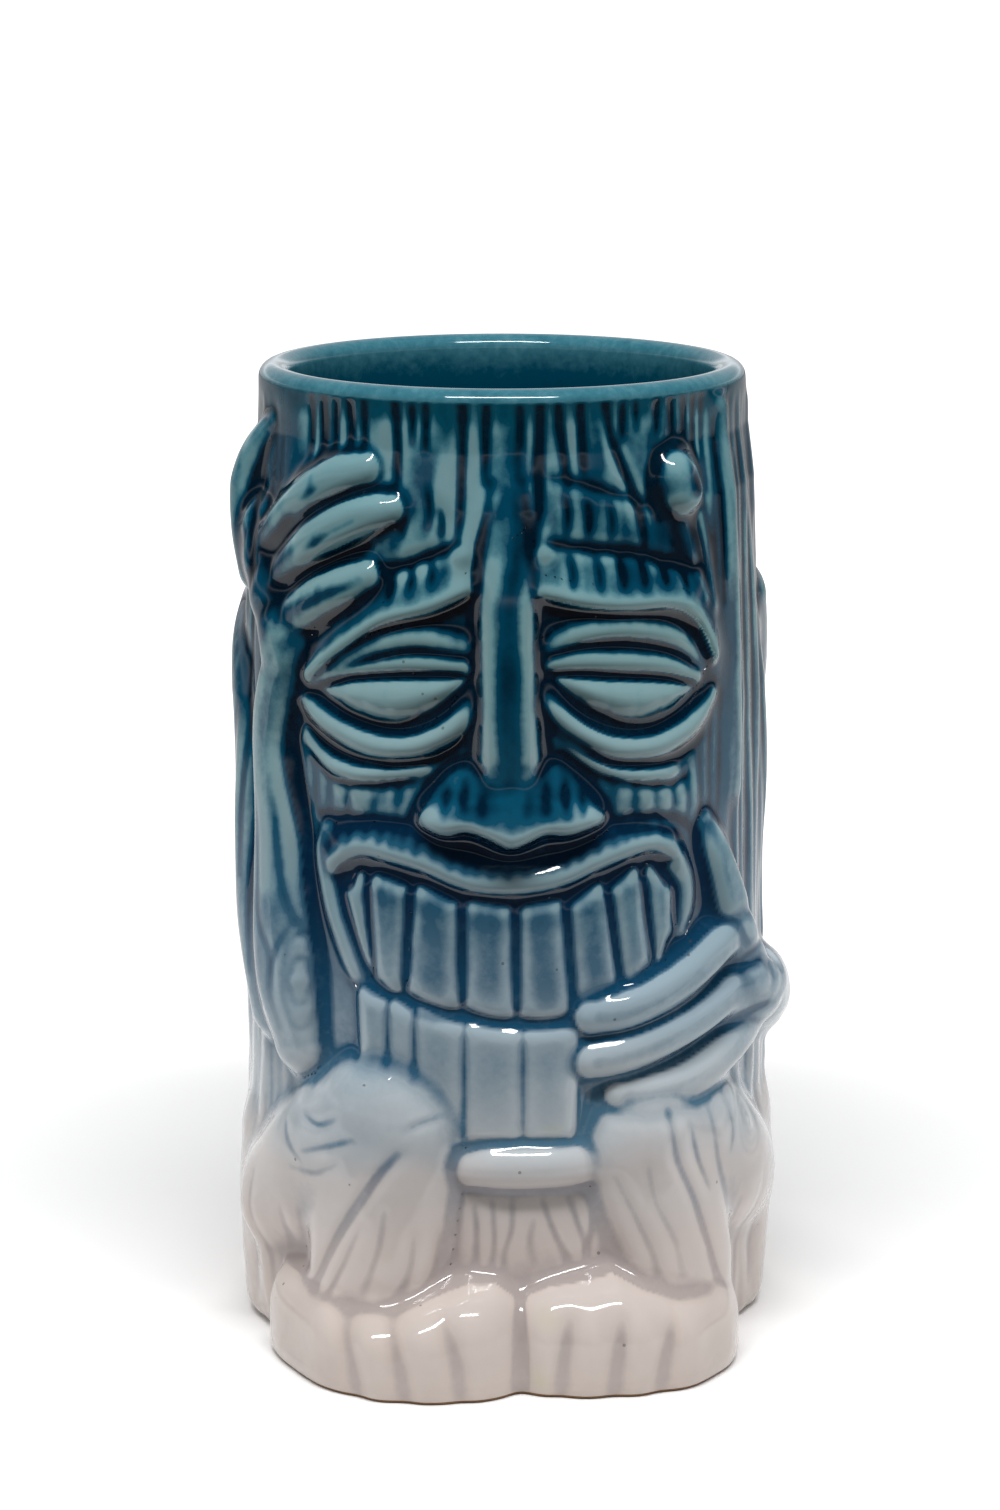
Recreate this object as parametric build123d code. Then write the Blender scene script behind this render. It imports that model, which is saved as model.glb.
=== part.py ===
from build123d import *
import math
import os

# A ceramic drinking mug in the form of a carved tree-trunk figure that sits and laughs.
# The hollow trunk is the cup. Every carved feature is a sprig: a solid of its own that sits on
# the trunk's outer wall, as the clay parts of the master model are luted onto a thrown cylinder.
#
# Frame: millimetres, +Z up, origin on the cup's axis at the plane it stands on, face towards -Y.
# Places on the trunk are (s, z, lift): s is the arc length round the trunk from the middle of the
# face (+ towards +X), measured at REF_R, z the height, and lift the distance out of the wall.
# "Left" and "right" are the figure's own, so its right side lies towards -X.

# --- driving dimensions ---
HEIGHT = 165.0          # stand to the crest of the lip
RIM_R = 41.0            # outer radius at the lip
WAIST_R = 44.2          # outer radius from the stand to the cheeks
CHEEK_Z = 112.0         # where the trunk starts to narrow
BROW_Z = 150.0          # where the narrowing ends
WALL = 4.8              # wall thickness, which is also the width of the lip
FLOOR = 6.0             # floor thickness over the foot recess
FLOOR_ROUND = 6.0       # rounding where the inner wall meets the floor
FOOT_IN_R = 34.0        # inner radius of the unglazed foot ring
FOOT_RECESS = 1.5       # how far the disc inside the foot ring is recessed
REF_R = 43.0            # radius at which s is measured

FINGER_R = 3.1          # fingers
THUMB_R = 3.3           # thumbs
ARM_R = 6.2             # forearms
UPPER_ARM_R = 6.6       # upper arms
KNEE_R = 15.0           # knees
ANKLE_R = 11.5          # shins at the ankle
HIP_R = 13.0            # thighs at the hip
TOE_R = 4.7             # toes
ROLL_R = 1.9            # rolls of skin round the eyes
BROW_R = 2.7            # brows
LIP_R = 3.6             # upper lip

NOSTRIL_Z = 91.8        # flat underside of the nose

TOOTH_LIFT = 2.4        # how far the teeth stand out of the wall
PLANK_LIFT = 2.0        # chin planks
PANEL_LIFT = 1.6        # panel between the legs
EDGE = 0.7              # eased edge on teeth, planks and panel
CREVICE = 0.5           # width of the groove between two teeth or planks
BARK_R = 1.1            # radius of the tool that cuts the bark grooves
BARK_LIFT = 0.4         # its centre's distance out of the wall

RIGHT_TOES = [(-27.5, -42, 8.5), (-20, -48, 9), (-11.5, -51, 9.5), (-3, -50, 10)]   # x, y, height
LEFT_TOES = [(7.5, -47.6, 9), (16.5, -48, 10), (25, -45.4, 10.5), (32.5, -39.5, 9)]
BARK_BACK = [56 + 7.4 * k for k in range(21)]                       # s of the long grooves
BARK_RIM = [-31, -26, -21, -15, -9, -3, 3, 9, 15, 21, 27, 38]       # s of the short rim grooves


def wall_radius(z):
    """Outer radius of the plain trunk at height z."""
    share = min(max((z - CHEEK_Z) / (BROW_Z - CHEEK_Z), 0), 1)
    return WAIST_R + (RIM_R - WAIST_R) * share


def on_trunk(s, z, lift=0.0):
    """The point at arc length s and height z, lifted out of the trunk's wall."""
    radius = wall_radius(z) + lift
    angle = s / REF_R
    return Vector(radius * math.sin(angle), -radius * math.cos(angle), z)


def grown_trunk(lift=0.0):
    """The trunk as a solid, without its hollow, with its wall moved out by lift."""
    section = Polyline(
        (0, 0),
        (WAIST_R + lift, 0),
        (WAIST_R + lift, CHEEK_Z),
        (RIM_R + lift, BROW_Z),
        (RIM_R + lift, HEIGHT),
        (0, HEIGHT),
        close=True,
    )
    return revolve(Plane.XZ * make_face(section), Axis.Z)


def limb(*stations):
    """A rounded limb through (s, z, lift, radius) stations: a ball at each, a taper between."""
    balls = [(on_trunk(s, z, lift), r) for s, z, lift, r in stations]
    pieces = [Pos(*centre) * Sphere(r) for centre, r in balls]
    for (a, ra), (b, rb) in zip(balls, balls[1:]):
        plane = Plane(origin=a, z_dir=b - a)
        along = (Align.CENTER, Align.CENTER, Align.MIN)
        length = (b - a).length
        if abs(ra - rb) < 0.01:
            pieces.append(plane * Cylinder(ra, length, align=along))
        else:
            pieces.append(plane * Cone(ra, rb, length, align=along))
    return Part() + pieces


def roll(radius, lift, *path):
    """A limb of one radius at one lift through (s, z) points."""
    return limb(*[(s, z, lift, radius) for s, z in path])


def front_face(points):
    """A flat face through (s, z) points, seen from straight in front, in the XZ plane."""
    flat = [(on_trunk(s, z).X, z) for s, z in points]
    return Plane.XZ * make_face(Polyline(*flat, close=True))


def relief(points, lift, eased=True):
    """The part of the trunk's skin inside a front outline, lift thick, with or without eased edges."""
    block = extrude(front_face(points), 70) & grown_trunk(lift)
    block = block - CORE
    if not eased:
        return block
    outer = max(block.faces(), key=lambda f: Vector(f.center().X, f.center().Y, 0).length)
    return fillet(outer.edges(), EDGE)


def dome(points, s, z, lift, radius):
    """A low dome inside a front outline, standing lift out of the wall at (s, z)."""
    ball = Pos(*on_trunk(s, z, lift - radius)) * Sphere(radius)
    return extrude(front_face(points), 70) & ball


def above_stand(shape):
    """Keep what is above the plane the mug stands on."""
    return shape & Pos(0, 0, HEIGHT / 2) * Box(200, 200, HEIGHT)


CORE = grown_trunk()
PLACED = {}             # every finished sprig by name, in the order in which they are seated


def boxes_meet(a, b):
    """Whether two shapes' bounding boxes overlap."""
    p = a.bounding_box()
    q = b.bounding_box()
    return all(
        getattr(p.min, k) < getattr(q.max, k) and getattr(q.min, k) < getattr(p.max, k) for k in "XYZ"
    )


def seat(name, *shapes):
    """Cut a sprig's solids to the trunk's wall and to the sprigs already seated, and keep them."""
    solids = []
    for shape in shapes:
        body = shape - CORE
        seated = [one for sprig in PLACED.values() for one in sprig.solids()] + solids
        near = [one for one in seated if boxes_meet(body, one)]
        if near:
            body = body - near
        solids.append(max(body.solids(), key=lambda one: one.volume))
    PLACED[name] = Compound(children=solids) if len(solids) > 1 else solids[0]


def make_trunk_cup():
    """Cup wall and floor: a full-round lip, a straight bore below it, a rounded floor corner."""
    bore_r = RIM_R - WALL
    belly_r = WAIST_R - WALL
    floor_z = FOOT_RECESS + FLOOR
    lip_r = WALL / 2
    corner = FLOOR_ROUND * (1 - math.sqrt(0.5))
    outside = Polyline(
        (0, FOOT_RECESS),
        (FOOT_IN_R, FOOT_RECESS),
        (FOOT_IN_R, 0),
        (WAIST_R, 0),
        (WAIST_R, CHEEK_Z),
        (RIM_R, BROW_Z),
        (RIM_R, HEIGHT - lip_r),
    )
    lip = ThreePointArc((RIM_R, HEIGHT - lip_r), (RIM_R - lip_r, HEIGHT), (bore_r, HEIGHT - lip_r))
    inside = Polyline(
        (bore_r, HEIGHT - lip_r), (bore_r, BROW_Z), (belly_r, CHEEK_Z), (belly_r, floor_z + FLOOR_ROUND)
    )
    rounding = ThreePointArc(
        (belly_r, floor_z + FLOOR_ROUND),
        (belly_r - corner, floor_z + corner),
        (belly_r - FLOOR_ROUND, floor_z),
    )
    floor = Polyline((belly_r - FLOOR_ROUND, floor_z), (0, floor_z), (0, FOOT_RECESS))
    section = make_face(Curve() + [outside, lip, inside, rounding, floor])
    return revolve(Plane.XZ * section, Axis.Z)


def cut_bark(cup):
    """Long grooves down the sides and back, and short ones under the lip over the forehead."""
    for k, s in enumerate(BARK_BACK):
        low = 22 + 9 * (k % 3)
        high = 156 - 5 * (k % 2)
        wander = 0.9 * math.sin(2.1 * k)
        cup = cut_groove(cup, (s, low), (s + wander, CHEEK_Z), (s, BROW_Z), (s, high))
    for k, s in enumerate(BARK_RIM):
        cup = cut_groove(cup, (s, 153 + 2 * (k % 2)), (s, 160))
    return cup


def cut_groove(cup, *path):
    """One groove along (s, z) points."""
    return cup - roll(BARK_R, BARK_LIFT, *path)


def make_hands():
    """The right hand lies on the forehead and the left one across the cheek."""
    seat(
        "right_fingers",
        roll(FINGER_R, 0.4, (-48, 137), (-42.6, 141.2), (-34.4, 147), (-27.9, 150.2), (-22.5, 151)),
        roll(FINGER_R, 0.4, (-44, 130), (-34.3, 138.5), (-26.9, 142.6), (-18.5, 145)),
        roll(FINGER_R, 0.4, (-44, 121.5), (-36.8, 127.1), (-27.7, 131.6), (-21, 134.4)),
    )
    seat("right_thumb", roll(THUMB_R, -0.2, (-61, 131), (-61.5, 141), (-58, 149.5)))
    seat("right_palm", limb((-55, 133, -2, 6.5), (-51, 124, -2, 7.2), (-47, 117, -2, 6.4)))
    seat(
        "left_fingers",
        roll(FINGER_R, 1.2, (41, 73.5), (35.9, 67.5), (28.4, 63.9), (19.6, 61.3), (14.5, 61)),
        roll(FINGER_R, 1.2, (43, 63), (32.1, 57.7), (22.2, 54.2), (16, 53.4)),
        roll(FINGER_R, 1.0, (48, 56.2), (38, 51.8), (28.8, 47.8), (22, 46.6)),
    )
    seat("left_thumb", limb((42.2, 88, -0.4, 3), (44.2, 80.5, 0, 3.4), (47, 69, 0.2, 4)))
    seat("left_palm", limb((48, 67, 0, 6), (54, 58, 0.5, 6.6)))


def make_arms():
    """Both elbows are low; the right one rests on the knee."""
    seat(
        "right_forearm",
        limb(
            (-45, 112, -2.2, ARM_R),
            (-43.5, 98, -2.2, ARM_R),
            (-40.8, 80, -2.0, ARM_R + 0.4),
            (-39.0, 64, -2.0, ARM_R + 0.8),
            (-37.5, 53, -2.2, ARM_R),
        ),
    )
    seat(
        "right_upper_arm",
        limb(
            (-43, 54, -3.2, UPPER_ARM_R - 0.6),
            (-54, 76, -3.2, UPPER_ARM_R),
            (-60, 100, -3.2, UPPER_ARM_R + 0.4),
            (-66, 119, -4.2, UPPER_ARM_R + 1),
        ),
    )
    seat(
        "left_forearm",
        limb((57, 56.5, -1.8, ARM_R + 0.6), (68, 53, -2, ARM_R + 0.6), (80, 52, -2.2, ARM_R + 0.2)),
    )
    seat(
        "left_upper_arm",
        limb(
            (81, 54, -3, UPPER_ARM_R),
            (83, 76, -3.2, UPPER_ARM_R),
            (80, 100, -3.2, UPPER_ARM_R + 0.4),
            (74, 119, -4.2, UPPER_ARM_R + 1),
        ),
    )


def make_nose():
    """A long bridge with broad wings that overhang the upper lip."""
    wings = limb((-10.5, 95.2, -0.5, 4.4), (1.5, 97.2, 1.6, 6.4), (13.5, 95.2, -0.5, 4.4))
    below = Pos(0, -50, NOSTRIL_Z - 10) * Box(60, 40, 20)
    seat("nose_base", wings - below)
    seat("nose_bridge", limb((0.8, 139, -1.4, 3.6), (1, 118, -0.8, 4.2), (1.3, 104, -0.2, 4.8)))


def make_eyes():
    """Each eye is laughing: a lid narrowed to a slit between rolls of skin."""
    seat("right_brow", roll(BROW_R, -0.4, (-6.5, 137), (-13, 133.2), (-22, 130), (-30, 125.4), (-37, 119.5)))
    seat("left_brow", roll(BROW_R, -0.4, (8.5, 136), (14.5, 133.6), (22, 132.8), (32, 131.8), (41, 126)))
    slit = [(-33.3, 115.2), (-25, 117.4), (-17.1, 118.2), (-6.4, 118.8)]
    below = [(-11, 114.2), (-17.8, 111), (-25.6, 111.6)]
    seat("right_eyelid", dome(slit + below, -19.5, 115.5, 2.6, 20))
    slit = [(7.5, 118.9), (13, 118.6), (19.3, 117.8), (28, 117), (36.6, 115)]
    below = [(30, 111.9), (22.4, 111), (14.6, 114)]
    seat("left_eyelid", dome(slit + below, 22, 115.5, 2.6, 20))
    seat("right_upper_lid", roll(ROLL_R, 0.1, (-7.5, 121), (-16, 121), (-24.5, 119.3), (-33, 115.9)))
    seat("left_upper_lid", roll(ROLL_R, 0.1, (9, 121), (16, 121.3), (26, 120.3), (36, 117)))
    seat("right_lid_fold", roll(ROLL_R + 0.3, -0.2, (-7.8, 126.8), (-16, 126.2), (-25, 123.3), (-33.2, 119.7)))
    seat("left_lid_fold", roll(ROLL_R + 0.3, -0.2, (9.2, 127), (17, 127.4), (27, 126.6), (38, 121.8)))
    seat(
        "right_eye_bag",
        roll(ROLL_R, -0.2, (-5.2, 113.8), (-12, 108.6), (-20.6, 106.8), (-30.9, 108.6), (-37.5, 112)),
    )
    seat(
        "left_eye_bag",
        roll(ROLL_R, -0.2, (7.6, 115), (12.4, 110.2), (19.2, 106.9), (28, 106.2), (37, 107.8), (42, 111.4)),
    )


MOUTH_TOP = [(-30, 80.5), (-22, 84.6), (-15, 84.2), (-6.5, 82.4), (2.2, 81.6), (10.6, 82)]
MOUTH_TOP += [(18, 84), (24.5, 85.6), (33, 80)]
MOUTH_LOW = [(-26, 68.2), (-21.6, 66.4), (-15.6, 65.4), (-6.2, 63), (2.4, 61.8), (11.4, 62.2)]
MOUTH_LOW += [(19.6, 65.8), (26, 68.8), (32, 73)]
PLANK_TOP = [(-19.6, 65.2), (-14.6, 64), (-6.1, 62), (3.2, 60.8), (12, 61.2)]
PLANK_LOW = [(-18.6, 46), (-13.8, 44), (-6, 42.6), (3.3, 41.8), (11.8, 41.6)]


def between(upper, lower, k):
    """The outline of the k-th field between two rows of points, less half a crevice per side."""
    gap = CREVICE / 2
    (s0, z0), (s1, z1) = upper[k], upper[k + 1]
    (s3, z3), (s2, z2) = lower[k], lower[k + 1]
    return [(s0 + gap, z0), (s1 - gap, z1), (s2 - gap, z2), (s3 + gap, z3)]


def make_mouth():
    """A broad upper lip over eight teeth."""
    seat(
        "upper_lip",
        limb(
            (-30.5, 88, -0.6, LIP_R - 0.6),
            (-22, 90, -0.2, LIP_R - 0.2),
            (-11, 88.6, 0.2, LIP_R),
            (1.3, 85.6, 0.4, LIP_R),
            (13, 87.6, 0.2, LIP_R),
            (23, 89.8, -0.2, LIP_R - 0.2),
            (31.5, 88.4, -0.6, LIP_R - 0.6),
        ),
    )
    seat("teeth", *[relief(between(MOUTH_TOP, MOUTH_LOW, k), TOOTH_LIFT) for k in range(8)])


def make_chin():
    """Upright planks under the mouth, the band below them and the panel between the legs."""
    seat("waist_band", roll(4.2, 0.2, (-3, 36.6), (13, 36.6)))
    seat("chin_planks", *[relief(between(PLANK_TOP, PLANK_LOW, k), PLANK_LIFT, eased=False) for k in range(4)])
    seat("loin_panel", relief([(-7, 33), (17, 33), (22, 17), (-9, 17)], PANEL_LIFT))


def make_leg(side, knee, shin_foot, hip, toes):
    """One drawn-up leg: toes and foot in front, shin rising to the knee, thigh going back."""
    toe_solids = []
    for x, y, tall in toes:
        upright = Pos(x, y, 0) * Cylinder(TOE_R, tall, align=(Align.CENTER, Align.CENTER, Align.MIN))
        toe_solids.append(upright + Pos(x, y, tall) * Sphere(TOE_R))
    seat(side + "_toes", *[above_stand(one) for one in toe_solids])
    (s, z) = shin_foot
    foot = limb((s - 11, 5.2, -1.8, 9), (s - 1, 6.3, -0.6, 10.2), (s + 9, 5.2, -1.2, 9))
    seat(side + "_foot", above_stand(foot))
    seat(side + "_shin", above_stand(limb((*knee, -7, KNEE_R), (s, z, -5, ANKLE_R))))
    seat(side + "_thigh", above_stand(limb((*knee, -8, KNEE_R - 0.4), (*hip, -6.5, HIP_R))))


def make_knot():
    """A round knot in the bark over the left brow."""
    seat("forehead_knot", limb((33, 148.8, -0.8, 4.4), (33.4, 142.5, -0.8, 2.2)))


def main():
    os.makedirs("parts", exist_ok=True)
    make_hands()
    make_arms()
    make_nose()
    make_mouth()
    make_eyes()
    make_leg("right", (-19.5, 42), (-18, 13), (-52, 18), RIGHT_TOES)
    make_leg("left", (27, 37), (22, 13), (57, 20), LEFT_TOES)
    make_chin()
    make_knot()
    export_step(cut_bark(make_trunk_cup()), "parts/trunk_cup.step")
    for name, shape in PLACED.items():
        export_step(shape, "parts/" + name + ".step")


main()
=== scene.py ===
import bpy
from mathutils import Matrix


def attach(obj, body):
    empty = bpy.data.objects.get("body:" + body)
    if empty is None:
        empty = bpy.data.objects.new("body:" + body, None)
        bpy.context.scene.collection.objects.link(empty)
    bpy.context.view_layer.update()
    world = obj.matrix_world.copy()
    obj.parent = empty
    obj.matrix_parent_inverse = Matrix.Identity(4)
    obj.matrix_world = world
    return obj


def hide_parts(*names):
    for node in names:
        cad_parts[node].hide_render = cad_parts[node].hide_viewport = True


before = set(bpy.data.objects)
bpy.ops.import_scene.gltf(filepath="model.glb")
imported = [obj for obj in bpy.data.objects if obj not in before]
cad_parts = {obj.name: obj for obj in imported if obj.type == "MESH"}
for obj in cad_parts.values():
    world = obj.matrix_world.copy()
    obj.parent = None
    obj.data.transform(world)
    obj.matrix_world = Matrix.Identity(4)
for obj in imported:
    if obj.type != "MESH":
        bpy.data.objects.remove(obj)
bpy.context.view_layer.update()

import math
from functools import partial

import bpy
import numpy as np
from mathutils import Vector

# The visible mug is sculpted as one field of heights over the trunk's wall, then parted into the
# named pieces. Places are (s, z): s is the arc length round the trunk from the middle of the
# face (+ towards +X) at REF_R, and z the height. All sizes are millimetres until a mesh is made.
# Points are written as text: numbers joined by commas, points parted by spaces.

REF_R = 43.0
HALF = math.pi * REF_R
STEP = 0.36  # spacing of the grid over the front and the arms
FINE = 68.0  # the fine grid runs from -FINE to FINE
BACK_STEP = 0.95  # spacing round the back
TOP = 162.6  # where the outer wall meets the rounded lip
BLOCK = 4  # cells per side of one hidden face
WALL_Z = [0, 3, 10, 40, 110, 132, 146, 155, TOP]
WALL_R = [43.5, 44.2, 44.4, 44.4, 44.2, 43.2, 42.4, 41.15, 41.0]

# ---- the grid
s_front = np.arange(-FINE, FINE, STEP)
back_count = int((2 * HALF - 2 * FINE) / BACK_STEP)
s_back = np.linspace(s_front[-1] + STEP, 2 * HALF - FINE, back_count, endpoint=False)
S_RUN = np.concatenate([s_front, s_back])
S_COL = np.where(S_RUN > HALF, S_RUN - 2 * HALF, S_RUN)
Z_ROW = np.append(np.arange(0, TOP - 0.2, STEP), TOP)
ROWS, COLS = len(Z_ROW), len(S_COL)
Z, S = np.meshgrid(Z_ROW, S_COL, indexing="ij")
WALL = np.interp(Z, WALL_Z, WALL_R)

H = np.zeros((ROWS, COLS))  # height of the surface over the wall
OWNER = np.zeros((ROWS, COLS), int)  # which piece is on top; 0 is the trunk
TINT = np.zeros((ROWS, COLS))  # extra glaze: + pools, - thins; some of the paler lines are painted highlights and painted reflections
NAMES = ["trunk"]


# ---- reading points and tables
def pts(text):
    """Points from text: numbers joined by commas, points parted by spaces."""
    return [tuple(float(n) for n in point.split(",")) for point in text.split()]


def lines(table):
    """The rows of a table; a line that starts with a space carries on the row before."""
    return table.strip().replace("\n ", " ").splitlines()


def named(table):
    """The name and the points of every row of a table."""
    return [(row.split(" ")[0], pts(row.split(" ", 1)[1])) for row in lines(table)]


def shape_all(shape, table):
    """Call shape(points, *numbers) for every row, which starts with the numbers."""
    for row in lines(table):
        numbers, *points = pts(row)
        shape(points, *numbers)


# ---- sculpting tools
def ease(x):
    """Smooth step from 0 to 1."""
    x = np.clip(x, 0, 1)
    return x * x * (3 - 2 * x)


def noise(size_s, size_z, seed, push=0.0):
    """Smooth noise in -1..1 over the grid, seamless round the trunk."""
    across = max(3, round(2 * HALF / size_s))
    up = int(TOP / size_z) + 4
    table = np.random.default_rng(seed).uniform(-1, 1, (up, across))
    u = ((S + push) % (2 * HALF)) / (2 * HALF) * across
    v = Z / size_z + 1
    i, j = np.floor(u).astype(int), np.floor(v).astype(int)
    fu, fv = ease(u - i), ease(v - j)
    i0, i1 = i % across, (i + 1) % across
    low = table[j, i0] * (1 - fu) + table[j, i1] * fu
    high = table[j + 1, i0] * (1 - fu) + table[j + 1, i1] * fu
    return low * (1 - fv) + high * fv


def smooth_line(points, parts=6):
    """A Catmull-Rom line through the points; numbers after the first two are carried along."""
    p = np.array(points, float)
    if len(p) < 3:
        return p
    p = np.vstack([2 * p[0] - p[1], p, 2 * p[-1] - p[-2]])
    out = []
    for a, b, c, d in zip(p, p[1:], p[2:], p[3:]):
        for t in np.arange(parts) / parts:
            out.append(
                0.5 * (2 * b + (c - a) * t + (2 * a - 5 * b + 4 * c - d) * t**2
                       + (3 * b - a - 3 * c + d) * t**3)
            )
    out.append(p[-2])
    return np.array(out)


def window(line, reach):
    """The part of the grid within reach of a line, as an index pair."""
    lo, hi = line[:, :2].min(0) - reach, line[:, :2].max(0) + reach
    cols = np.where((S_COL >= lo[0]) & (S_COL <= hi[0]))[0]
    rows = np.where((Z_ROW >= lo[1]) & (Z_ROW <= hi[1]))[0]
    return np.ix_(rows, cols)


def nearest(line, at):
    """Distance to the line, signed side of it, and the carried numbers at the nearest place."""
    x, y = S[at], Z[at]
    best = np.full(x.shape, 1e9)
    side = np.zeros(x.shape)
    carried = np.zeros(x.shape + (line.shape[1] - 2,))
    for a, b in zip(line, line[1:]):
        d = b[:2] - a[:2]
        length2 = max(float(d @ d), 1e-9)
        t = np.clip(((x - a[0]) * d[0] + (y - a[1]) * d[1]) / length2, 0, 1)
        dx, dy = x - a[0] - t * d[0], y - a[1] - t * d[1]
        dist = np.hypot(dx, dy)
        closer = dist < best
        best = np.where(closer, dist, best)
        side = np.where(closer, np.sign(d[0] * dy - d[1] * dx), side)
        mixed = a[2:] + t[..., None] * (b[2:] - a[2:])
        carried = np.where(closer[..., None], mixed, carried)
    return best, side, carried


def blend_max(a, b, k):
    """The higher of two fields, with the corner between them filled over k."""
    h = np.clip(0.5 + 0.5 * (a - b) / k, 0, 1)
    return b * (1 - h) + a * h + k * h * (1 - h)


def own(name, at, where):
    """Give part of the surface to a named piece."""
    if name not in NAMES:
        NAMES.append(name)
    owners = OWNER[at]
    owners[where] = NAMES.index(name)
    OWNER[at] = owners


def limb(name, points, soft=0.7, moat=0.0, moat_width=1.3, power=2.0):
    """A rounded limb along (s, z, lift, radius), laid over what is there.

    soft fills the corner beside it, moat cuts a groove round it, power over 2 flattens it.
    """
    line = smooth_line(points)
    at = window(line, line[:, 3].max() + 4)
    dist, _, carried = nearest(line, at)
    lift, r = carried[..., 0], carried[..., 1]
    rim = 0.95 * r
    share = np.minimum(dist, rim) / r
    cap = lift + r * (1 - share**power) ** (1 / power)
    cap = cap - np.maximum(dist - rim, 0) * 3.2
    old = H[at]
    if moat:
        foot = np.sqrt(np.maximum(r * r - np.maximum(-lift, 0) ** 2, 1))
        old = old - moat * np.exp(-(((dist - foot) / moat_width) ** 2))
    own(name, at, cap > old)
    H[at] = blend_max(cap, old, soft)


def limbs(table):
    """Limbs from rows of a name, then soft and maybe moat, moat width and power, then points."""
    for name, (numbers, *points) in named(table):
        limb(name, points, *numbers)


def ridge(points):
    """Raise the surface along (s, z, half-width, height)."""
    line = smooth_line(points)
    at = window(line, 3 * line[:, 2].max())
    dist, _, carried = nearest(line, at)
    H[at] += carried[..., 1] * np.exp(-((dist / carried[..., 0]) ** 2))


def ridges(table):
    """Ridges, one a row."""
    for row in lines(table):
        ridge(pts(row))


def cut(points, width, depth, tint=0.0):
    """Cut a groove through (s, z) points, running out at both ends."""
    line = smooth_line([(s, z, width, depth) for s, z in points])
    line[:, 3] *= np.sin(np.linspace(0.12, math.pi - 0.12, len(line))) ** 0.5
    at = window(line, 3 * line[:, 2].max())
    dist, _, carried = nearest(line, at)
    bite = np.exp(-((dist / carried[..., 0]) ** 2))
    H[at] -= carried[..., 1] * bite
    TINT[at] += tint * bite


def uprights(bow, end, width, gain, tint, table):
    """Upright cuts from points (s, low, high, depth), bowed sideways, their tops moved by end."""
    for s, z0, z1, depth in pts(table):
        cut([(s, z0), (s + bow, (z0 + z1) / 2), (s + end, z1)], width, gain * depth, tint)


def cuts(width, tint, table):
    """Cuts of one width and tint, from rows of a depth and points."""
    shape_all(lambda points, depth: cut(points, width, depth, tint), table)


def tint_line(points, width, amount):
    """More or less glaze along (s, z) points, without changing the relief; some calls paint highlights and
    reflections as paler lines.
    """
    line = smooth_line(points)
    at = window(line, 3 * width)
    dist, _, _ = nearest(line, at)
    TINT[at] += amount * np.exp(-((dist / width) ** 2))


def shelf(points, height, up, down, ends=3.0):
    """A ledge whose lower edge follows (s, z) points: a slow rise from above, a quick fall below."""
    line = smooth_line(points)
    at = window(line, 3.2 * up)
    edge = np.interp(S[at], line[:, 0], line[:, 1])
    over = Z[at] - edge
    slow = np.exp(-((np.maximum(over, 0) / up) ** 1.4))
    rise = np.where(over > 0, slow, np.exp(-((over / down) ** 2)))
    fade = ease((S[at] - line[0, 0] + ends) / ends) * ease((line[-1, 0] + ends - S[at]) / ends)
    H[at] += height * rise * fade


def inside(points, smooth=True):
    """A closed outline's window, and the distance inside it (negative outside)."""
    closed = points + points[:1]
    ring = smooth_line(closed) if smooth else np.array(closed)
    at = window(ring, 4)
    dist, _, _ = nearest(ring, at)
    x, y = S[at], Z[at]
    odd = np.zeros(x.shape, bool)
    for (x0, y0), (x1, y1) in zip(ring, ring[1:]):
        if y0 != y1:
            crosses = (y0 > y) != (y1 > y)
            odd ^= crosses & (x < (x1 - x0) * (y - y0) / (y1 - y0) + x0)
    return at, np.where(odd, dist, -dist)


def patch(name, points, height, round_over, floor=None, soft=0.35, smooth=True):
    """A raised field inside an outline, rounded at its edge; what stands over floor is cut away."""
    at, depth = inside(points, smooth)
    if floor is not None:
        H[at] = np.where(depth > -0.2, np.minimum(H[at], floor), H[at])
    low = floor or 0.0
    cap = low + (height - low) * (1 - np.exp(-np.maximum(depth, 0) / round_over))
    cap = cap + np.minimum(depth, 0) * 3
    own(name, at, (depth > 0) & (cap > H[at] - 0.05))
    H[at] = blend_max(cap, H[at], soft)


# ---- the plain trunk and its bark
front = ease((46 - np.abs(S)) / 6)  # 1 over the face, 0 round the sides
under_rim = ease((TOP - 1.5 - Z) / 2.5)
bark = 1 - front

warp = 2.2 * noise(24, 42, 11) + 0.8 * noise(9, 20, 12)
grain = noise(2.6, 30, 13, warp) * 0.42 + noise(1.5, 18, 14, warp) * 0.22
ribs = np.abs(noise(4.6, 60, 15, warp)) ** 0.7
H += bark * under_rim * (grain + 0.75 * ribs - 0.35)
strokes = 0.12 * noise(1.7, 12, 16, 0.5 * warp) + 0.48 * noise(3.0, 15, 17, 0.5 * warp)
brow_up = 0.25 + 0.75 * ease((Z - 124) / 8)
H += 0.16 * front * under_rim * strokes * brow_up
TINT -= front * under_rim * ease((Z - 130) / 8) * (1.15 * strokes + 0.13)
H += 0.12 * noise(26, 30, 18) * under_rim

rng = np.random.default_rng(7)
for k in range(46):
    s = 50 + (2 * HALF - 100) * (k + rng.uniform(-0.3, 0.3)) / 46
    s = s - 2 * HALF if s > HALF else s
    if abs(s) > HALF - 3:
        continue
    low, high = rng.uniform(3, 55), rng.uniform(120, 160)
    sway = rng.uniform(-1.6, 1.6)
    middle = (low + high) / 2
    cut([(s, low), (s + sway, middle - 10), (s - sway * 0.6, middle + 25), (s, high)],
        rng.uniform(0.45, 0.75), rng.uniform(0.5, 0.95))


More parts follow.
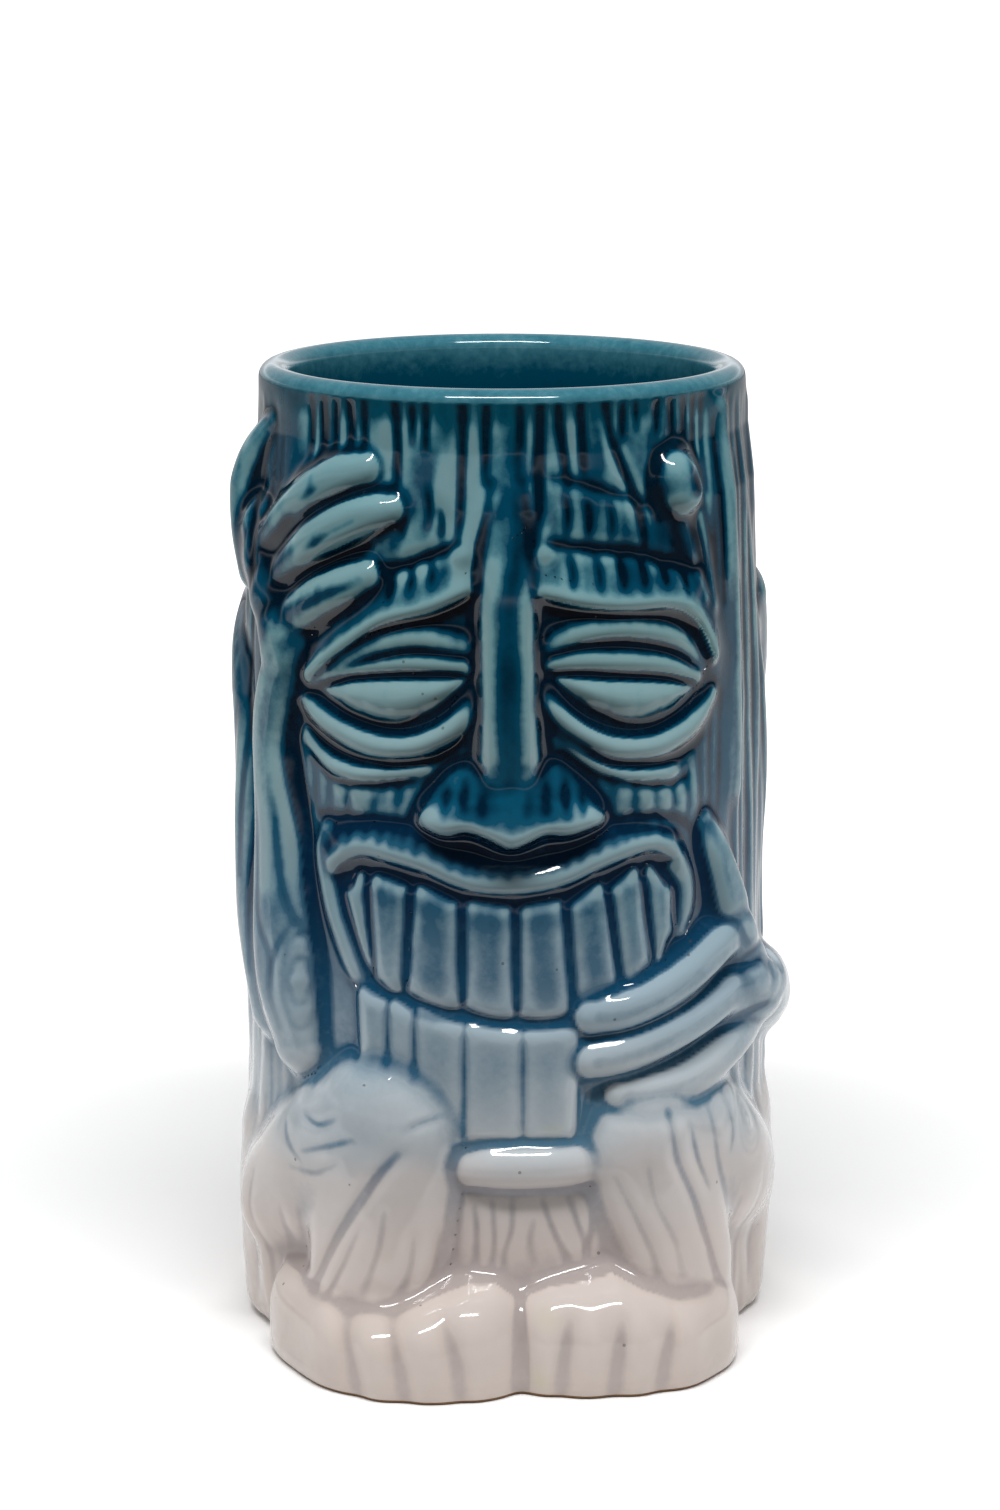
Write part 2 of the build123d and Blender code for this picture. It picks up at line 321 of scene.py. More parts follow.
def knot(s, z, wide, tall, depth=0.6, rings=3, width=0.42, wobble=0.0):
    """A knot in the wood: rings drawn round an eye."""
    for k in range(1, rings + 1):
        a = np.linspace(0, 2 * math.pi, 15)
        out = 1 + wobble * np.sin(2 * a + s) + 0.6 * wobble * np.sin(3 * a + z + k)
        line = smooth_line([(s + wide * k / rings * o * math.sin(t), z + tall * k / rings * o * math.cos(t))
                            for t, o in zip(a, out)])
        at = window(line, 2)
        dist, _, _ = nearest(line, at)
        H[at] -= depth * (1 - 0.2 * k / rings) * np.exp(-((dist / width) ** 2))
    ridge([(s, z, wide * 0.35, 0.5), (s + 0.1, z + 0.2, wide * 0.35, 0.5)])


for s, z, wide, tall in pts("112,92,5,11 -104,60,5,10 -124,130,4,8 72,140,3.4,8 96,34,5,9"):
    knot(s, z, wide, tall, wobble=0.16)

# the long boards that frame the face on its left
ridge(pts("45,160,2.2,0.9 45.5,140,2.4,1.4 46,115,2.6,1.5 46,96,2.2,1.1"))
shape_all(cut, """
0.6,0.8 42.5,158 43,140 42.6,128
0.6,1 48.8,161 49.2,130 49.4,100 49,80
0.55,0.9 52.5,160 53.4,125 53.2,92
0.6,1 56.5,160 57.6,120 57,76
0.5,0.8 60.5,155 61.6,120 61.4,80
""")

# grooves that hang from the lip over the forehead: (s, low end, width, depth, lean)
HANGING = pts("""
-36.5,152,0.7,0.8,0 -33.4,150,0.8,0.9,-0.5 -30.4,153,0.6,0.7,0 -27.6,154.6,0.7,1.1,0.4
-24.6,154.5,0.6,0.8,0.3 -18.4,149.5,0.75,1.25,0.6 -15.4,156.5,0.6,0.8,0 -13,155.5,0.6,1,0
-6.6,141,0.8,1.3,-0.4 -2.6,150.5,0.7,0.9,-0.3 2.9,156,0.6,0.6,0.4 6.4,141,0.8,1.3,-0.8
9.4,150,0.75,1.1,1.6 13.3,152,0.7,1.1,0.4 21,156.5,0.6,0.8,0 23.6,158,0.5,0.6,0.2 28,157.5,0.6,0.8,0
31,157,0.5,0.8,0.4 34.2,155.5,0.6,0.9,0.3 36.8,151,0.6,0.9,0.2 39,147,0.6,0.8,0.2""")
for s, low, width, depth, lean in HANGING:
    cut([(s, 162.3), (s + lean * 0.4, (low + 162) / 2 + 1), (s + lean, low)], 1.15 * width, depth, 0.3)
cut(pts("17.8,162.6 19,157 21.2,151.5 23.6,145.5 24.6,139.5"), 0.85, 1.5, 0.2)

# the frowning forehead
ridges("""
0.8,154,2,0.2 1,149,3,1 0.9,143,3.8,1.6 0.8,138,3.6,1.8
-2,148,1.6,0.7 -4.2,143,1.8,1 -5.6,139.5,2.2,1.4
4,149,1.6,0.7 5.6,144,1.8,1 6.4,139.5,2,1.2
""")
shape_all(cut, """
0.9,1,0.2 -1.8,150.5 -2.6,145 -3.4,139 -3.4,135
0.9,1,0.2 3.6,150.5 4.2,145 4.4,139 4.4,135
1,1.4,0.25 -21,135.8 -16.5,136.8 -11.5,138.8 -7.2,140.6
1,1.3,0.25 7.5,141 14,139.8 22,138.6 29,136.4 35.5,134.6
1,0.8,0.15 8.5,151.2 15,149.6 22,147.2 27,145.4
""")
uprights(0.2, -0.2, 0.75, 1, 0.1, """
-16.6,141.5,146.5,0.8 -12,143,149,0.7 -10,141.5,146.5,0.9 10.6,142,148.5,0.8 14.2,141.5,147,0.7
18.2,141,147,0.6 -18.2,131.5,136,0.7 -14.8,133,137,0.8 -11.4,134,138,0.7 11,133.5,139,0.8
15.5,133.4,138.6,0.6 19.5,133,138,0.8 23.5,133,137.5,0.7 27.5,133,136.5,0.7 31.5,131.5,135.5,0.7
""")
ridge(pts("32,132,3,0.8 36.5,128,3,1 39,122,2.6,1 39.4,116,2.4,0.6"))

# cheeks, with their upright boards
ridges("""
-24,99,6.5,1.3 -21,96.5,5,1 -17,97,4,0.6
22,99,6.5,1.4 27,97,6,1.4 31,96,5,1.2
""")
uprights(0.25, 0, 0.8, 0.6, 0.05, """
-33,95.5,103,0.6 -29.5,95,102,0.5 -25.6,94.6,101.5,0.7 -21,94.8,102,0.5 -16.8,97.5,102.6,0.6
17.5,98,103,0.5 21.2,94.5,102.4,0.6 25,94.6,101.6,0.5 28.6,94.4,101.4,0.6 32,93,102.5,0.7
35.2,93,105,0.8 38,94,112,0.8 40.6,93,116,0.6
""")

# ---- brows and eyes
BROW_R_LINE = pts("-33.5,116.8 -29,120.6 -24.8,123.9 -19,127.8 -11.1,130.4 -5.2,133.4")
BROW_L_LINE = pts("5.6,133 12.4,131.2 19,130.2 28.1,129.6 33.4,126.4 37.6,119.4")


def brow(name, edge, height):
    """A brow that juts over the eye, with a hollow under it."""
    before = H.copy()
    shelf(edge, height, 4.4, 0.8, ends=1.5)
    at = window(smooth_line(edge), 5)
    own(name, at, (H - before)[at] > 0.55 * height)
    low = [(s, z - 1.5) for s, z in edge]
    cut(low, 0.9, 0.5, 0.1)


brow("right_brow", BROW_R_LINE, 2.6)
brow("left_brow", BROW_L_LINE, 2.6)
for name, line in named("""
right_lid_fold -5.2,124.2 -13.7,125.2 -21.9,122.8 -29.2,118.2 -33,116.2
left_lid_fold 6.2,123.8 12.3,126 20.5,126.2 29.4,123.8 35.2,118.8
"""):
    inner = range(1, len(line) - 1)
    limb(name, [(s, z, -0.9 - 0.6 * (k not in inner), 2.3) for k, (s, z) in enumerate(line)], 0.8)
    cut([(s, z - 2.0) for s, z in line], 0.8, 0.9, 0.25)
for name, line in named("""
right_upper_lid -6,120.9 -11,121.3 -17,120.9 -24.5,119.1 -31,116.8
left_upper_lid 7.2,121.3 12,121.8 18.6,121.2 27,119.8 34,117
"""):
    limb(name, [(s, z, -0.5, 1.75) for s, z in line], 0.5)
for name, outline in named("""
right_eyelid -32,115.6 -24,118.2 -16.1,119 -6.2,119.6 -5.4,118.6 -9.5,114.6 -16.7,111.5 -23.9,112.2
 -30,114.6
left_eyelid 7.2,119.8 18.1,118.6 27,117.4 34.2,115.6 32,114.2 27.9,112.4 20.9,111.4 13.7,114.2 8.6,118.4
"""):
    patch(name, outline, 2.3, 1.6, floor=-0.2)
cuts(0.5, 0.5, """
1.9 -6.2,119.9 -16.1,119.2 -24,118.1 -31,116.2
1.9 7.2,120.1 18.1,118.8 27,117.7 33.6,116
""")
for s, z0, z1 in pts("""
-27,113.5,116.5 -22.5,112.6,117.5 -18.4,112,117.6 -13,113.4,118 12.5,115.6,118.2 17,113.2,118
21.5,112.4,117.4 26,112.6,116.6 30,113.6,116"""):
    cut([(s, z0), (s + 0.1, (z0 + z1) / 2), (s, z1)], 0.6, 0.28)
for name, line in named("""
right_eye_bag -34.6,113.6 -31,111.4 -27.3,109.6 -23,107.9 -18.5,107.3 -13.5,107.9 -10.2,109.6 -6.8,112.4
 -4.6,116
left_eye_bag 6.2,117.4 8.4,113.6 11.4,110.4 14.4,108.4 17.8,107.1 24.2,106.7 29,107.8 33,109.8 37.4,113.8
"""):
    inner = range(1, len(line) - 1)
    limb(name, [(s, z, -0.4 if k in inner else -1.0, 2.3) for k, (s, z) in enumerate(line)], 0.5, 0, 1, 2.3)
shape_all(cut, """
1.1,1.6,0.6 -34.6,115 -30,112.8 -24.4,110.9 -17,109.9 -12,111.2 -8.8,113.2 -4.6,117.6
1.1,1.6,0.6 6.4,119.2 10.1,114.7 15.7,111.1 21.4,109.4 26,109.6 30.6,111 35.4,113.4 38.4,115.4
1,1.4,0.5 -36.2,111.2 -33,108.4 -29.3,106.2 -25,104.8 -19.7,104.4 -12.9,105.4 -8,107.6
1,1.4,0.5 6.6,113.4 9.4,110.2 14.1,106.7 17.6,104.8 21.4,104 27.7,103.9 33,105.2 36,107
""")
ridge(pts("-34.3,106.6,1.1,0.9 -28.4,103.2,1.3,1.4 -19.1,102.7,1.2,1.3 -12.2,104,1,0.8"))
cut(pts("-33,104 -28,100.9 -20,100.8 -14,102"), 0.8, 0.9, 0.2)
ridge(pts("8.4,109.6,1.1,0.8 13.5,105.4,1.2,1.3 19.1,102.8,1.3,1.4 28.4,101.9,1.2,1"))
cut(pts("9.6,107 15,103.2 21,101.2 28,100.2 32,100.6"), 0.8, 0.9, 0.2)

# ---- nose
limbs("""
nose_bridge 2.2,0.35,1.8,2.2 0.8,146,-4.4,4.6 0.8,140,-2.6,4.8 0.8,133,-0.6,4.6 0.9,120,0.1,4.5
 1.1,110,0.2,4.6 1.2,105,0,4.8 1.3,99.5,-0.4,4.8 1.3,97,-1,4.6
""")
ridges("""
-1.4,138,0.9,0.2 -1.5,120,1,0.35 -1.5,107,1,0.3
3.1,138,0.9,0.2 3.3,120,1,0.35 3.5,107,1,0.3
""")
NOSE = pts("""
-13.2,95 -12.4,98.2 -10.6,101.2 -8,103.8 -5.2,105.4 -3,107.2 1.2,111 5.2,107.4 8,105.8 10.8,103.6
13.2,100.8 15.4,97.6 16.2,95.2 12.7,94 9.4,93.4 6.4,93.8 4.1,92.7 1.1,91.6 -2.1,93.2 -5.2,94.2
-8.8,93.4""")
at, depth = inside(NOSE)
rise = 2.4 + 3.4 * np.clip((105 - Z[at]) / 11, 0, 1) + 1.9 * np.exp(-(((S[at] - 1.3) / 5.0) ** 2))
rise = rise - 0.9 * ((S[at] - 1.4) / 12) ** 2
edge = 0.55 + 2.0 * ease((Z[at] - 96) / 5)
cap = rise * (1 - np.exp(-np.maximum(depth, 0) / edge)) + np.minimum(depth, 0) * 3
own("nose_base", at, (depth > 0) & (cap > H[at]) & (Z[at] < 104))
H[at] = blend_max(cap, H[at], 0.5)
uprights(0, 0.2, 0.8, 1, 0.1, """
-8.4,97.5,101.5,0.5 -5.6,98,103,0.45 -2.8,97,101.5,0.3 6.2,97,103,0.45 9.4,97.2,102.2,0.5
12,96.8,99.8,0.4 3.6,97,101,0.25
""")
cuts(0.8, 0.35, """
1 -15.4,93.6 -13.4,98.4 -10.6,102.6 -6.6,105.6 -3.2,104.8
1 18,93.8 16.4,98.2 13.6,102.4 9.2,106.2 5.6,104.8
""")

# ---- mouth
MOUTH = pts("""
-26.4,80.4 -25.8,83.8 -23.6,86.4 -19,86.2 -12.6,84.8 -7.7,82.6 -2.9,81.7 4,81.7 10,82.9 15.1,85
21.8,87 26,86.6 28.8,83 29.4,78 29.6,73 26.3,69 17.2,65.2 10.6,62.1 -0.3,61.7 -6.5,62.7 -12.1,63.5
-16.3,65.3 -20.6,66.8 -22.4,69.4 -24.6,75""")
at, depth = inside(MOUTH)
H[at] = np.where(depth > 0, np.minimum(H[at], 0) - 0.9 * ease(depth / 1.2), H[at])

LIP_LOW = pts("""
-28.4,84.2 -26.2,86.6 -22.7,88.4 -19,88.2 -12.6,86.9 -7.7,84.9 -2.9,83.7 4,83.7 10,84.9 15.1,87
21.8,88.9 25,88.8 28.4,86.6 30.4,83.4""")
LIP_TOP = pts("""
31.4,88.4 29.4,92.2 23,93.4 17.6,93.4 12.4,91 7.8,89.2 1.2,88.6 -4,89.4 -8.6,91.4 -13.4,93.6
-19,94.2 -25,93.6 -30.2,92.2 -30.8,88""")
at, depth = inside(LIP_LOW + LIP_TOP)
own("upper_lip", at, depth > -0.2)
low = smooth_line(LIP_LOW)
over = Z[at] - np.interp(S[at], low[:, 0], low[:, 1])
swell = 3.5 - 0.40 * np.clip(over - 0.6, 0, 7)
cap = swell * (1 - np.exp(-np.maximum(depth, 0) / 0.9)) + np.minimum(depth, 0) * 3
lip_tint = 0.30 * ease((over - 3.0) / 1.6) - 0.22 * np.exp(-(((over - 1.7) / 1.3) ** 2))
TINT[at] += np.where(depth > 0, lip_tint, 0)
H[at] = blend_max(cap, H[at], 0.6)
limbs("""
upper_lip 0.9 -29.6,91.6,-1,2.2 -30.6,88,-0.4,2 -29.8,83.6,-0.2,1.9 -28.6,79,-0.2,1.9 -26.8,74.4,-0.3,1.9
 -24.8,69.4,-0.5,1.8 -23.2,66.4,-0.9,1.6
upper_lip 0.7 29.6,86.6,-0.2,2.2 31.4,83,-0.4,2.1 31.8,79,-0.6,2 31,75,-1,1.8
""")
cuts(0.8, 0.35, """
0.8 -31.5,94.6 -24,95 -17,95 -12,93.4
0.8 13,94.2 18,95 25,95.2 31,93.4 34.4,90
""")
for k in range(26):
    s = -29 + 2.3 * k + 0.5 * math.sin(5.1 * k)
    z = float(np.interp(s, low[:, 0], low[:, 1]))
    cut([(s, z + 2.6), (s + 0.1, z + 4.0), (s, z + 5.4)], 0.6, 0.16, 0.14)

TOOTH_TOP = pts("-26.4,83.4 -21.9,85.8 -14.4,84.8 -6.3,82.8 2,82 9.9,82.6 16.7,84.8 22.8,86.8 28.8,83.6")
TOOTH_LOW = pts("-22.6,69 -20.8,67.2 -15.3,65.6 -6.1,63.7 2.3,62.4 11.2,62.6 18.9,66.4 24.8,69 29.2,73")


def slab(top, low, k, gap, upper, lower, middle=False):
    """The outline of the k-th slab between two lines, its corners cut off.

    upper and lower are (width of the cut, its far end, its near end), measured from the lines.
    """
    (s0, z0), (s1, z1) = top[k], top[k + 1]
    (s3, z3), (s2, z2) = low[k], low[k + 1]
    (i, drop, lift), (j, rise, floor) = upper, lower
    dip = [((s2 + s3) / 2, (z2 + z3) / 2)] if middle else []
    return [(s0 + gap, z0 - drop), (s0 + gap + i, z0 + lift),
            (s1 - gap - i, z1 + lift), (s1 - gap, z1 - drop), ((s1 + s2) / 2 - gap, (z1 + z2) / 2),
            (s2 - gap, z2 + rise), (s2 - gap - j, z2 + floor), *dip,
            (s3 + gap + j, z3 + floor), (s3 + gap, z3 + rise), ((s0 + s3) / 2 + gap, (z0 + z3) / 2)]


TEETH, PLANKS = 8, 5
for k in range(TEETH):
    outline = slab(TOOTH_TOP, TOOTH_LOW, k, 0.22, (1.4, 1.2, 0.2), (1.0, 1.8, 0.5), middle=True)
    patch("teeth", outline, 1.8, 0.6, floor=-0.1, soft=0.25)
    at = window(np.array(outline), 1)
    start = max(TOOTH_TOP[k][1], TOOTH_TOP[k + 1][1]) - 5.6 - 0.6 * math.sin(3.1 * k)
    left, right = min(TOOTH_TOP[k][0], TOOTH_LOW[k][0]), max(TOOTH_TOP[k + 1][0], TOOTH_LOW[k + 1][0])
    within = (S[at] > left) & (S[at] < right) & (OWNER[at] == NAMES.index("teeth"))
    TINT[at] += np.where(within, 0.20 * ease((Z[at] - start) / 2.0), 0)

# ---- chin, band and panel
PLANK_TOP = pts("-23.4,66.6 -18,65.4 -13.6,64.2 -5.8,62.1 3.1,60.9 12,61.2")
PLANK_LOW = pts("-22.8,50 -17.8,47 -13.4,44 -5.8,41.6 3.2,41.2 11.4,41.2")
for k in range(PLANKS):
    outline = slab(PLANK_TOP, PLANK_LOW, k, 0.04, (0.9, 0.7, 0), (0.8, 0.9, 0))
    patch("chin_planks", outline, 2.2, 0.5, floor=1.3, soft=0.3)
cut(pts("-25,66.6 -20.6,65.9 -16.3,65 -12.1,63.2 -6.5,62.4 -0.3,61.5 6.6,61.3 10.6,61.7"),
    0.8, 0.55, 0.5)

PANEL = pts("-6.4,33 15.2,33 21,15 -9,15")
patch("loin_panel", PANEL, 0.9, 1.5, soft=0.5, smooth=False)
cuts(0.55, 0.1, """
0.6 -4.4,31 -4,26 -4.2,20
0.55 -1.6,31.2 -1.2,25 -1.6,19.5
0.55 1.6,31.6 1.5,27 0.4,22.6 0.2,19
0.35 5,28 4.4,24.5 5,21
0.6 6.4,31.4 8,26.5 10.2,21.4 10.4,18.6
0.6 10.6,31.6 12.6,25.6 13.6,22
0.6 14.8,31.2 14.4,26 13.6,22 13.4,18.6
0.5 16.6,30 18.4,25 19.8,20.4
""")
limbs("""
waist_band 0.35,0.5,1 -4.6,37.4,-0.1,3.3 -1,37.8,0.1,3.9 5,37.9,0.1,4.1 11,37.6,0.1,3.8 14.6,37,-0.2,3.1
""")
shape_all(cut, """
0.8,1.3,0.25 -5.2,42.2 3,42 11.6,42
0.5,0.6,0.1 -4.4,34 4,33.3 13.8,34.4
""")

# ---- legs
ridges("""
68,58,9,1 68,46,10,1.8 68,30,10,0.6
68,118,5,0.6 67,100,5,1.5 67,80,5,1.2 67,66,5,0.8
""")
limbs("""
right_thigh 2.6 -60,22,-9.9,10.6 -49,24,-7.8,11.6 -38,31,-6.8,12.8 -28,39,-6.6,13.4
right_thigh 2.6,0,1,2.2 -58,32,-9.8,11.4 -58,18,-9.7,11.6 -55,4,-9.8,11.6
right_shin 2,0.2,1.8,2.3 -19.8,42.2,-7.2,14.8 -20.6,36,-6.6,14.6 -21,27,-5.8,13.6 -21.4,17,-5.2,13
 -22,8,-4.8,13
left_thigh 2.6 68,22,-9,11.4 57,25,-8.3,12.6 46,31,-6.9,13.2 36,38,-6.4,13
left_thigh 2.6,0,1,2.2 66,32,-9.6,12.4 65,18,-9.8,12.6 61,3,-10.4,12.4
left_shin 2,0.2,1.8,2.3 25,38.6,-6.4,13.4 27.4,32,-6,13.4 29.4,24,-5.4,12.8 30.4,16,-5,12.6 29,8,-4.6,12.4
""")
shape_all(cut, """
0.9,1.1,0.2 -14.6,40.6 -17,37.2 -19.6,32.6 -23.3,25.9 -28.1,16 -32.4,6.7 -34,2
0.7,0.9,0.15 25.2,46 25.6,38.6 28.6,30.4 31.2,22.5 34.9,12 37,5
""")
cuts(0.6, 0.08, """
0.55 -31.5,44 -27.6,43.4 -24,45.2
0.6 -30.6,38 -26,40 -21.4,42.2
0.45 -33,34.6 -28,35 -23.6,37.6
0.5 -13.6,44.8 -11.4,46 -9.4,46.6
0.5 -36,42 -34,38.6 -30.6,36
0.6 -20,28 -22.6,21 -25.4,14 -25.6,8
0.6 -16.4,31 -17.4,24 -19.6,16
0.6 -12.6,27 -13.2,21 -15,15
0.5 -9.6,26 -10.2,20 -11.6,15.4
0.55 -37,27 -39,18 -38.6,8
0.6 -43,32 -45,22 -43.6,10
0.4 -33.6,26 -34.8,20 -36.4,15
0.5 -48.6,28 -50.4,18 -49,6
0.6 16.8,36 19.6,29 22.4,22 23.6,16.4
0.45 21,38 22.4,31 25.4,24 26.8,17.6
0.7 28.6,43.4 29.6,37 31.8,31
0.55 33.4,44 33.8,36 36.6,28 39,20
0.5 31,20 33.6,13 34.2,6
0.6 42,26 43.6,18 43,8
0.6 46.6,30 49,20 48.4,6
0.5 53,32 54.6,20 54,6
0.5 37.4,46.4 37.6,40 36.6,36
""")
ridge(pts("-47.5,28,4.5,1 -46.5,18,4.5,2 -44.5,7,4.5,1.6"))
knot(42.4, 39.2, 2.9, 5.0, 0.5, 3, 0.36)

# ---- feet and toes
# the feet: (x, outwards) seen from above, and the line (s, z) of their tops
FOOT_PLAN = pts("""
-45,6 -42.4,16.5 -39,32.6 -35.2,41 -30,48.6 -22.5,54 -16.5,55.8 -11,56.2 -6.6,56 -2.4,54.6 0.6,53
2.8,50.8 5.2,52 10,53.4 18.4,53.2 25.4,51.6 31.6,48.6 36,43.6 39.2,37.6 41.2,26 43,8""")
FOOT_TOP = pts("""
-34,15 -30,15.6 -25,15.4 -20,14.8 -14,15.2 -9,17 -5,18.4 -1,18.4 2.2,16.4 3,15.6 4,16.6 7,17.8
12,18.6 16.5,19.2 20,17.4 25,15.6 30,15.8 33,16 36,15""")
plan = smooth_line(FOOT_PLAN, 10)
plan_s = np.arctan2(plan[:, 0], plan[:, 1]) * REF_R
plan_r = np.hypot(plan[:, 0], plan[:, 1])
order = np.argsort(plan_s)
reach = np.interp(S, plan_s[order], plan_r[order], left=0, right=0) - WALL
foot_top = np.interp(S, *zip(*FOOT_TOP))
side_fade = ease((S + 40) / 8) * ease((38.5 - S) / 6)
over = np.clip(Z / foot_top, 0, 2)
dome = np.maximum(1 - (np.maximum(over - 0.42, 0) / 0.58) ** 2.4, 0) ** (1 / 2.4)
foot_h = np.where(over < 1, reach * dome, -2)
foot_h = np.where(side_fade > 0, foot_h, -3)
for name, keep in [("right_foot", S < 2.9), ("left_foot", S >= 2.9)]:
    where = keep & (foot_h > H) & (foot_h > 0.2)
    own(name, np.ix_(range(ROWS), range(COLS)), where)
H = np.where(foot_h > -1, blend_max(np.where(foot_h > -1, foot_h, -9), H, 1.3), H)
cut(pts("2.9,0 2.9,5 2.8,10 2.6,16.5"), 0.7, 1.6, 0.1)
TOES = [
    pts("-21.4,13.4 -19.4,9 -18.4,4 -18,0"), pts("-15.2,14.2 -13.2,9.6 -12.2,4 -12,0"),
    pts("-8.2,15.4 -6.2,10 -5.4,4 -5.2,0"), pts("9.6,14.6 8.4,10 7.8,4 7.8,0"),
    pts("16.4,15.2 15.2,10 14.6,4 14.4,0"), pts("23.4,14 21.6,9.4 20.6,4 20.4,0"),
]
for line in TOES:
    cut([line[0], line[1], line[2], (line[3][0], -4)], 1.25, 1.05, 0.08)
for side, low, high in [("right", -27, 2.9), ("left", 2.9, 28)]:
    foot = NAMES.index(side + "_foot")
    centres = [-24, -17, -10, -2] if side == "right" else [5.4, 11.6, 18, 25]
    at = np.ix_(np.where(Z_ROW < 19)[0], np.where((S_COL > low - 3) & (S_COL < high + 3))[0])
    own(side + "_toes", at, (OWNER[at] == foot) & (S[at] > low) & (S[at] < high))
    for c in centres:
        ridge([(c, 1, 2.4, 0.2), (c, 7, 2.5, 0.8), (c - 0.5, 11.5, 2.2, 0.9), (c - 0.9, 14.5, 2.0, 0.5)])

# ---- arms and hands
limbs("""
right_upper_arm 1,0.4,1.4 -72,122,-6.4,8 -63,116,-5.7,8 -57,104,-5.2,7.6 -54,88,-4.2,7.4 -51,72,-3.8,7.4
 -46,58,-3.6,6.8
right_forearm 0.8,0.5,1.6,2.2 -38.6,123,-2.4,6 -41.6,114,-2,5.8 -43,106,-1.8,5.6 -42.2,99,-1.8,5.9
 -41.2,90,-2,6.5 -40.6,81,-2.2,7.2 -39.6,70,-2.4,8 -38.4,61,-2.4,7.6 -36.8,54.4,-2.4,6.4
""")
cut(pts("-36.4,112 -37.6,107 -37.8,103 -36.4,96.6 -34.2,89 -33.2,82"), 1.0, 1.5, 0.5)
cuts(0.6, 0.06, """
0.45 -43.5,96 -42.4,86 -41.4,76 -38.6,70 -38,64
0.5 -46.6,98 -46,86 -45.4,74 -44.6,64
0.4 -39,96 -38,88 -36.4,80 -33.6,74
0.4 -34.8,76 -37.4,70 -38.6,64 -37,57.4
0.5 -48.8,90 -49,76 -48,64
0.4 -42.6,62 -40.4,57 -38.4,52
0.45 -45.6,66 -43.4,58 -41,54
0.6 -52.4,108 -52.6,94 -51.6,80
0.55 -56.4,108 -56.6,94 -55.4,78
""")
knot(-33.6, 66, 2.3, 8.2, 0.30, 2, 0.5)
limbs("""
right_thumb 0.9,0.4,1.4 -50.4,157,-2.2,2.6 -55.4,152.6,-0.8,3.6 -58.4,146.6,-0.2,4.2 -58,139.6,-0.6,4.4
 -54,132,-2,5
right_palm 2.2 -51,139,-3,6.4 -46.6,132.4,-2.4,6.6 -42.8,126.4,-2.2,6.6 -40.4,121,-2.2,6.2
right_fingers 0.9,0.25,1.5,2.4 -50,134,-1.4,3.5 -44.8,138.6,-0.7,3.6 -38.9,143.6,-0.4,3.6
 -32.8,148.2,-0.3,3.5 -27.6,150.8,-0.3,3.2 -23.6,151.9,-0.6,2.7
right_fingers 0.9,0.25,1.5,2.4 -45.6,128.4,-1.4,3.5 -38.8,134.4,-0.5,3.6 -32.4,139.6,-0.2,3.6
 -25.8,143.4,0,3.3 -20.6,145.4,-0.1,2.9 -18.4,145.9,-0.5,2.5
right_fingers 0.9,0.25,1.5,2.4 -42.6,121.6,-1.5,3.8 -37.6,126.2,-0.6,3.8 -31.9,130.2,-0.1,3.5
 -26.2,133,0.1,3.1 -22.4,134.8,-0.3,2.6
""")
shape_all(cut, """
0.8,0.9,0.4 -45,136.4 -38.5,141.6 -31.4,145.6 -24.6,148.2 -19,149
0.9,1.4,0.4 -40.7,130.6 -34.5,134.6 -28,137.8 -22.4,139.6
1.1,1.2,0.4 -52,146 -49,140 -47.2,135 -46.4,130
""")
for line in [pts("-40,141.2 -34,146.4 -28,149.8"), pts("-33.6,137.6 -28,141.4 -22.4,144.4"),
             pts("-33,129 -28,131.6 -24,133.2")]:
    cut(line, 0.55, 0.3, 0.15)

limbs("""
left_upper_arm 1,0.4,1.4 74,124,-5.6,8 80,112,-4.2,8 83,94,-3.8,7.6 83,76,-3.6,7.4 80,60,-3.4,7.2
left_forearm 1,0.5,1.3 82,55,-2.8,7.4 72,53,-1.8,7.4 63,56,-1.2,7.2 55,58,-1.6,6.6
""")
cuts(0.6, 0.06, """
0.6 80,118 86,100 86.5,82 84,66
0.5 76,114 80,98 80,80
0.5 80,57 70,56 61,59
0.5 79,51 70,50 62,52
""")
limbs("""
left_palm 1.6,0.3,1.6 60,59,-1.2,6.8 53,60,0,6.6 47,61,-0.4,6.4 42.6,61,-1.6,6
left_palm 2 46.4,70,-2,5.2 45,63,-1.4,5.8 43,56,-2.2,5.4
left_thumb 1.4,0.4,1.5,2.3 36.6,92,-1.4,2.4 38.2,88,-0.2,3 40.2,82.6,0.2,3.5 42.2,77,0.3,4 44.8,70.6,0.2,4.6
 48.6,64,0,5.2
""")
shape_all(cut, """
0.9,0.6,0.2 45.8,85 48.2,77.6 51,71 55,66.4
0.7,0.5,0.25 40.6,74.6 42.4,71.6 44,69.6
""")
limbs("""
left_fingers 0.5,0.5,1.4,2.6 45.6,72.4,-1,3.6 41,71.8,0.6,3.5 37,70.4,1.1,3.4 31.4,67.6,1.2,3.4
 25.6,65.2,1.1,3.4 19.3,63.4,0.9,3.4 14.2,62.8,0.2,3.1
left_fingers 0.5,0.5,1.4,2.6 46.4,63.4,-0.6,3.6 40.6,62,0.9,3.5 32.1,59.3,1.2,3.4 24.4,57.2,1.1,3.4
 17.7,55.7,0.8,3.3 14,55.2,0.2,3
left_fingers 0.5,0.5,1.4,2.6 52,54.6,-0.8,3.8 44.4,53.4,0.6,3.6 36.7,50.8,1,3.4 30.1,49,0.9,3.3
 23.2,48.6,0.5,3.2 19.2,48.8,-0.2,2.9
""")
shape_all(cut, """
0.75,1,0.35 47,66.6 41,65.8 35.1,63.7 26.4,61.2 19,59.4 13.4,58.8
0.75,1,0.35 49,58.4 42,57.6 35,55.2 28,53 21.4,51.9 15.6,51.2
0.8,0.5,0.2 47,69 44,68 41.6,66.8
""")

